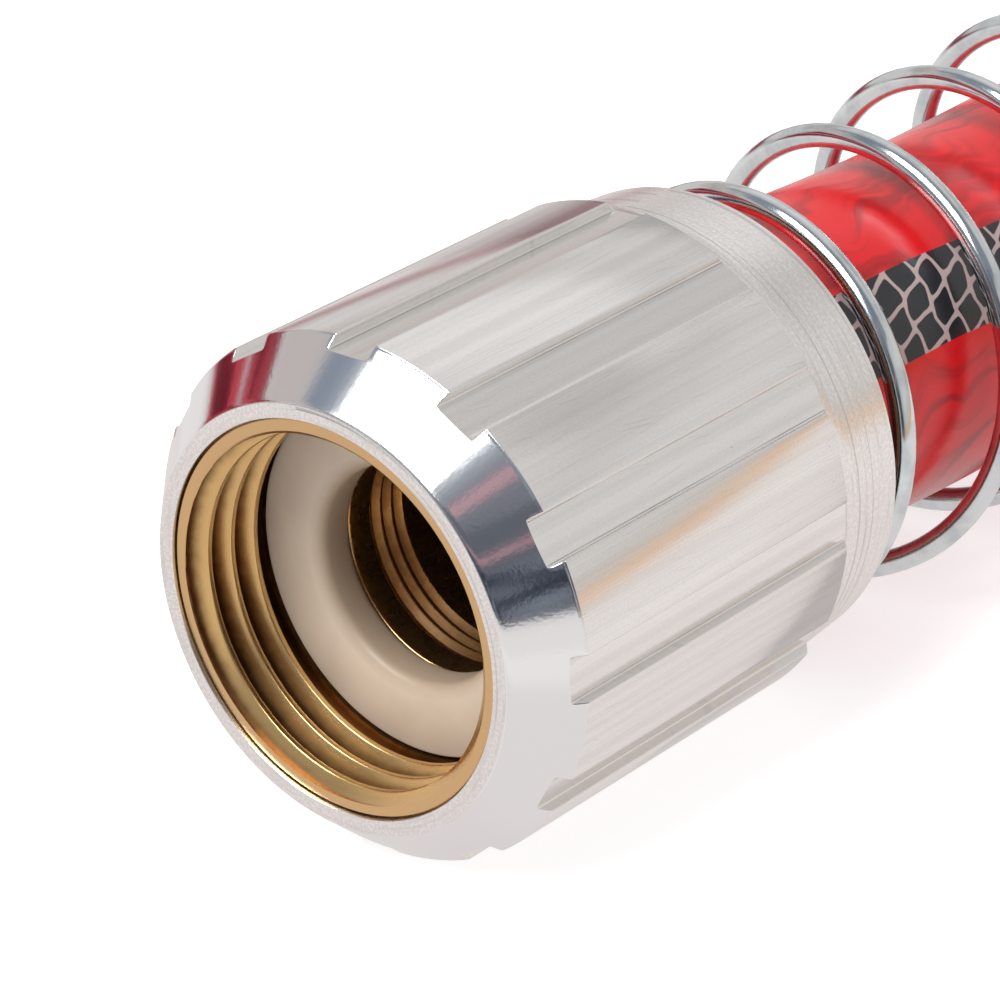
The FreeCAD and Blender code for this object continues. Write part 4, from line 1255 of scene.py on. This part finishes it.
def hose_cover():
    """Glossy red rubber with flow lines, painted shade behind the grip, and a black stripe with a pale net.
    """
    material, tree = new_material("glossy_rubber_cover")
    place = add(tree, "UVMap", uv_map="surface")
    round_it, v, _ = add(tree, "SeparateXYZ", place, out="all")
    u = wandering(tree, round_it, 0.25 * mm, place, 5 * mm, 12 * mm, 1.0, 5.0)
    stripe = window(tree, u, STRIPE_FROM * HOSE_R, STRIPE_TO * HOSE_R, 0.05 * mm)
    along, across = add(tree, "Math.DIVIDE", v, CELL), add(tree, "Math.DIVIDE", u, CELL_WIDTH)
    along = wandering(tree, along, 0.5, place, 3.2 * mm, 4.1 * mm, 1.0, 2.0)
    across = wandering(tree, across, 0.5, place, 3.9 * mm, 3.1 * mm, 1.0, 7.0)
    net = net_lines(tree, along, across)
    drift = wandering(tree, round_it, 12 * mm, place, 12 * mm, 9 * mm, 2.0, 8.0)
    flow = streaks(tree, add(tree, "CombineXYZ", drift, v), 2.2 * mm, 16 * mm, 2.0)
    smudge = streaks(tree, place, 6 * mm, 8 * mm, 2.0, 4.0)
    # Painted shade: a dark patch beside the stripe, just behind the grip, stands in for the shade there.
    beside = window(tree, u, STRIPE_TO * HOSE_R, (STRIPE_TO + 1.2) * HOSE_R, 2 * mm)
    painted_shade = product(tree, add(tree, "MapRange", v, PAINTED_SHADE_END, PAINTED_SHADE_END - 2 * mm), beside, 0.85)
    tone = layered(
        tree, "#CE0912", (add(tree, "MapRange", flow, 0.46, 0.66), "#A0060F"),
        (add(tree, "MapRange", smudge, 0.55, 0.75, 0.0, 0.16), "#9A0A12"), (painted_shade, "#1E1214"),
        (stripe, add(tree, "Mix", net, "#1B1E22", "#AD9997")),
    )
    dents = streaks(tree, place, 4 * mm, 18 * mm, 1.0, 2.2)
    height = weighted(tree, (dents, 0.6), (flow, 0.8), (product(tree, net, stripe), 0.15))
    coat(tree, tone, 0.24, height, 0.08 * mm, IOR=1.52)
    return material


def cloudy_rubber(name, first, second, scale, roughness):
    """Plain rubber with a faint cloudy bloom, its scale in clouds a metre."""
    material, tree = new_material(name)
    bloom = add(tree, "TexNoise", add(tree, "TexCoord", out="Object"), scale, 3.0)
    coat(tree, add(tree, "Mix", bloom, first, second), roughness)
    return material


COVER = hose_cover()
INNER_RUBBER = cloudy_rubber("black_inner_rubber", "#121212", "#262626", 0.5 / mm, 0.6)
print("rubber:", COVER.name, INNER_RUBBER.name)

# %% [markdown]
# ## The hose's surface
#
# The tube is carried along the route with rings 3.5 mm apart. Its ends are cut square and stay hollow:
# the last ring turns inwards over the wall's thickness and runs a little way down the bore.

# %% Rubber hose
BORE_R, BORE_ROWS = 9.5 * mm, 4
HOSE_SIDES, RING_SPACING = 72, 3.5 * mm


def hose_rings(line, spacing):
    """The line's points at an even spacing, and for each the level direction square to it, to its left."""
    length = walked(line)
    marks = np.linspace(0, length[-1], round(length[-1] / spacing) + 1)
    path = np.stack([np.interp(marks, length, line[:, k]) for k in range(3)], 1)
    way = np.gradient(path, axis=0)
    left = np.cross([0.0, 0.0, 1.0], way)
    return path, left / np.linalg.norm(left, axis=1)[:, None]


def hollow_ends(points, path, share, deep):
    """Turn both ends inwards: the mouth's inner edge, then a bore, a share as wide and deep rows long."""
    inner = path[:, None] + (points - path[:, None]) * share
    return np.concatenate([inner[[deep, 0]], points, inner[[-1, -1 - deep]]])


path, left = hose_rings(line, RING_SPACING)
points = hollow_ends(tube_points(path, left, HOSE_R, HOSE_SIDES), path, BORE_R / HOSE_R, BORE_ROWS)
wall, length = HOSE_R - BORE_R, walked(path)
inside = length[BORE_ROWS]
map_v = np.concatenate([[-wall - inside, -wall], length, length[-1] + [wall, wall + inside]])
slots = np.zeros(len(points), int)
slots[[0, 1, -3, -2, -1]] = 1  # the rows of the walls' ends and the bore are inner rubber
materials = [COVER, INNER_RUBBER]
hose = grid_piece("rubber_hose", points, materials, turn_steps(HOSE_SIDES) * HOSE_R, map_v, slots=slots)
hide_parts("hose_lead", "hose_coil", "hose_tail")

# %% [markdown]
# ## Webbing
#
# The tie is nylon webbing. It is woven, so its surface is two sets of fine ribs that cross. Their heights
# are two sines on the strap's own map, one along and one across, and the product of both is the weave.

# %% Webbing
RIB = 0.8 * mm


def woven_strap():
    """Black nylon webbing: matt, with warp and weft ribs drawn 0.8 mm apart so that they show."""
    material, tree = new_material("woven_nylon_webbing")
    u, v, _ = add(tree, "SeparateXYZ", add(tree, "UVMap", uv_map="surface"), out="all")
    ribs = [add(tree, "Math.SINE", product(tree, way, 2 * math.pi / RIB)) for way in (u, v)]
    weave = product(tree, *ribs)
    shade = add(tree, "Mix", add(tree, "MapRange", weave, -0.6, 0.8), "#141416", "#2C2D31")
    coat(tree, shade, 0.75, weave, 0.08 * mm, **{"Sheen Weight": 0.3})
    return material


WEBBING = woven_strap()
print(WEBBING.name, "has ribs", round(RIB / mm, 2), "mm apart")

# %% [markdown]
# ## The tie
#
# A hook-and-loop strap holds the coil. It goes round both layers where one lies on the other, and its
# free end lies back on itself as a short tab. Its path is a rounded rectangle and its edges are rounded
# selvedges, so it is a flat section carried along that path.

# %% Coil tie
STRAP_WIDTH, TAB_LENGTH = 16 * mm, 22 * mm
SMALL = 1e-4  # turns, for a direction along the coil
UP = np.array([0, 0, 1.0])


def coil_way(turn):
    """The coil's direction at a turn, one unit long."""
    way = coil_point(turn + SMALL) - coil_point(turn - SMALL)
    return way / np.linalg.norm(way)


tie_turn = TURNS / 2 - 0.5
low, high = coil_point(tie_turn), coil_point(tie_turn + 1)
strap_way = coil_way(tie_turn) + coil_way(tie_turn + 1)
strap_way /= np.linalg.norm(strap_way)
strap_side = np.cross(strap_way, UP)
half = STRAP_WIDTH / 2
spare = half**2 / (2 * COIL_OUTER - COIL_TURNS * COIL_STEP) + half * math.tan(INWARD)
inner = HOSE_R + STRAP_GAP


def strap_section(width, thick):
    """A flat section with rounded edges, as (across, out) columns."""
    corners = [(-width / 2, 0), (width / 2, 0), (width / 2, thick), (-width / 2, thick)]
    return rounded([(*corner, thick * 0.35) for corner in corners], 3)


def strap_path():
    """A rounded rectangle in the plane across the coil: four quarter circles and the runs between them."""
    quarter = np.radians(np.linspace(0, 90, 9))
    spots, outs = [], []
    for centre, first in ((low, -90), (high, 0), (high, 90), (low, 180)):
        angle = quarter + math.radians(first)
        side = spare if first in (-90, 0) else -spare
        out = strap_side * np.cos(angle)[:, None] + UP * np.sin(angle)[:, None]
        spots.append(centre + strap_side * side + out * inner)
        outs.append(out)
    return np.vstack(spots), np.vstack(outs)


section = strap_section(STRAP_WIDTH, STRAP_THICK)
spots, outs = strap_path()
points = spots[:, None] + strap_way * section[None, :, :1] + outs[:, None] * section[None, :, 1:]
band = grid_piece("tie_strap", points, [WEBBING], run_lengths(section), run_lengths(spots), True)
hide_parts("coil_tie")
middle = (low + high) / 2 + strap_side * (spare + inner + STRAP_THICK)
spots = middle + UP * TAB_LENGTH * np.linspace(-0.5, 0.5, 12)[:, None]
points = spots[:, None] + strap_way * section[None, :, :1] + strap_side * section[None, :, 1:]
tab = grid_piece("tie_tab", points, [WEBBING], run_lengths(section), walked(spots))

# %% [markdown]
# ## The male end
#
# The far end is the usual spout with an outside thread, a collar to hold it by and a short fluted
# sleeve, made like the grip. Its thread is the same formula as the nut's, taken away from the outside:
# the smaller of the plain spout and the groove. It is drawn at the origin and then moved to its place.

# %% Male end
stem_low, stem_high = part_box("male_stem")
MALE = (stem_low.x, (stem_low.y + stem_high.y) / 2, 0.0)
SPOUT_R, SPOUT_LENGTH, SPOUT_STEPS = 13.45 * mm, 11.5 * mm, 200
UNDERCUT, UNDERCUT_R = 2.3 * mm, 12.01 * mm  # the plain groove between thread and collar
COLLAR_END, COLLAR_R = SPOUT_LENGTH + 2.5 * mm, 15.6 * mm
SEAT_STEP_END, SEAT_STEP_R = COLLAR_END + 2 * mm, 12.0 * mm  # the step that centres the sleeve
# Bright all over, since no radius of the spout comes near 40 mm.
SPOUT_BRASS = machined_brass("machined_brass_spout", "#D6B484", "#CAA674", 40 * mm, 50 * mm)


def spout_points():
    """The male stem's closed outline with the groove cut into its spout."""
    x = np.linspace(0.03 * mm, SPOUT_LENGTH - UNDERCUT, 210)
    plain = np.minimum(SPOUT_R, SPOUT_R - 0.9 * mm + x)
    rest = rounded([
        (SPOUT_LENGTH - UNDERCUT, UNDERCUT_R), (SPOUT_LENGTH, UNDERCUT_R),
        (SPOUT_LENGTH, COLLAR_R, 0.3 * mm), (COLLAR_END, COLLAR_R, 0.3 * mm),
        (COLLAR_END, SEAT_STEP_R), (SEAT_STEP_END, SEAT_STEP_R),
        (SEAT_STEP_END, NECK_R), (FERRULE_X, NECK_R, 0.05 * mm),
    ] + barbs() + [(SHANK_END, STEM_BORE_R, 0.2 * mm), (0, STEM_BORE_R, 0.25 * mm)])
    outline = np.vstack([np.stack([x, plain], 1), rest, [(0, SPOUT_R - 0.95 * mm)]])
    angles = turn_steps(SPOUT_STEPS)[:-1]
    r = np.repeat(outline[:, 1:], SPOUT_STEPS, 1)
    groove = SPOUT_R - groove_depth(x[:, None], angles[None], -PITCH)
    r[: len(x)] = -soft_larger(-r[: len(x)], -groove)
    return around(outline, angles, r) + np.array(MALE), outline


points, outline = spout_points()
map_u = turn_steps(SPOUT_STEPS) * SPOUT_R
spout = grid_piece("male_spout", points, [SPOUT_BRASS], map_u, run_lengths(outline), True)
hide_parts("male_stem")
far_ferrule = ferrule("far_ferrule", MALE)
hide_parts("male_ferrule")
SLEEVE_LENGTH, SLEEVE_R, SLEEVE_FRONT_R = 31 * mm, 14.25 * mm, 12.05 * mm
sleeve_bore = [
    (SLEEVE_LENGTH, SLEEVE_R + BROKEN),
    (SLEEVE_LENGTH - BROKEN, SLEEVE_R),
    (2 * mm, SLEEVE_R),
    (2 * mm, SLEEVE_FRONT_R),
    (BROKEN, SLEEVE_FRONT_R),
    (0, SLEEVE_FRONT_R + BROKEN),
    (0, RIM_R - 0.08 * mm),
]
sleeve_place = (MALE[0] + COLLAR_END, MALE[1], MALE[2])
sleeve = fluted_grip("male_grip", SLEEVE_LENGTH, sleeve_bore, sleeve_place, "hose")
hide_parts("male_sleeve")

# %% [markdown]
# ## Inside the ferrules
#
# Between barb and ferrule lie the hose's own three layers: a black tube, a polyester braid and the red
# cover. The CAD model already has them at their true size and nothing of their shape is in doubt, so
# they keep their CAD meshes and only get materials.

# %% Inner layers
YARN_TURNS = 24  # yarns round the hose, each way


def polyester_braid():
    """Off-white polyester yarns that cross.

    One way they are sin(2.6 x + 24 a), with x in mm and a the angle, and the other way sin(2.6 x - 24 a).
    """
    material, tree = new_material("polyester_braid")
    x, y, z = add(tree, "SeparateXYZ", add(tree, "TexCoord", out="Object"), out="all")
    turn = add(tree, "Math.ARCTAN2", z, y)
    yarns = []
    for count in (YARN_TURNS, -YARN_TURNS):
        yarns.append(add(tree, "Math.SINE", weighted(tree, (turn, count), (x, 2.6 / mm))))
    yarn = add(tree, "MapRange", add(tree, "Math.MAXIMUM", *yarns), 0.0, 0.9)
    coat(tree, add(tree, "Mix", yarn, "#8F887A", "#E4DFD2"), 0.8)
    return material


hidden_cover = cloudy_rubber("hidden_rubber_cover", "#C80E18", "#A20812", 0.3 / mm, 0.3)
layers = {"tube": INNER_RUBBER, "braid": polyester_braid(), "cover": hidden_cover}
for layer, material in layers.items():
    for end in ("near", "far"):
        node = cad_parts[f"hose_{layer}_{end}"]
        node.data.materials.clear()
        node.data.materials.append(material)
print("inner layers:", len(layers) * 2)
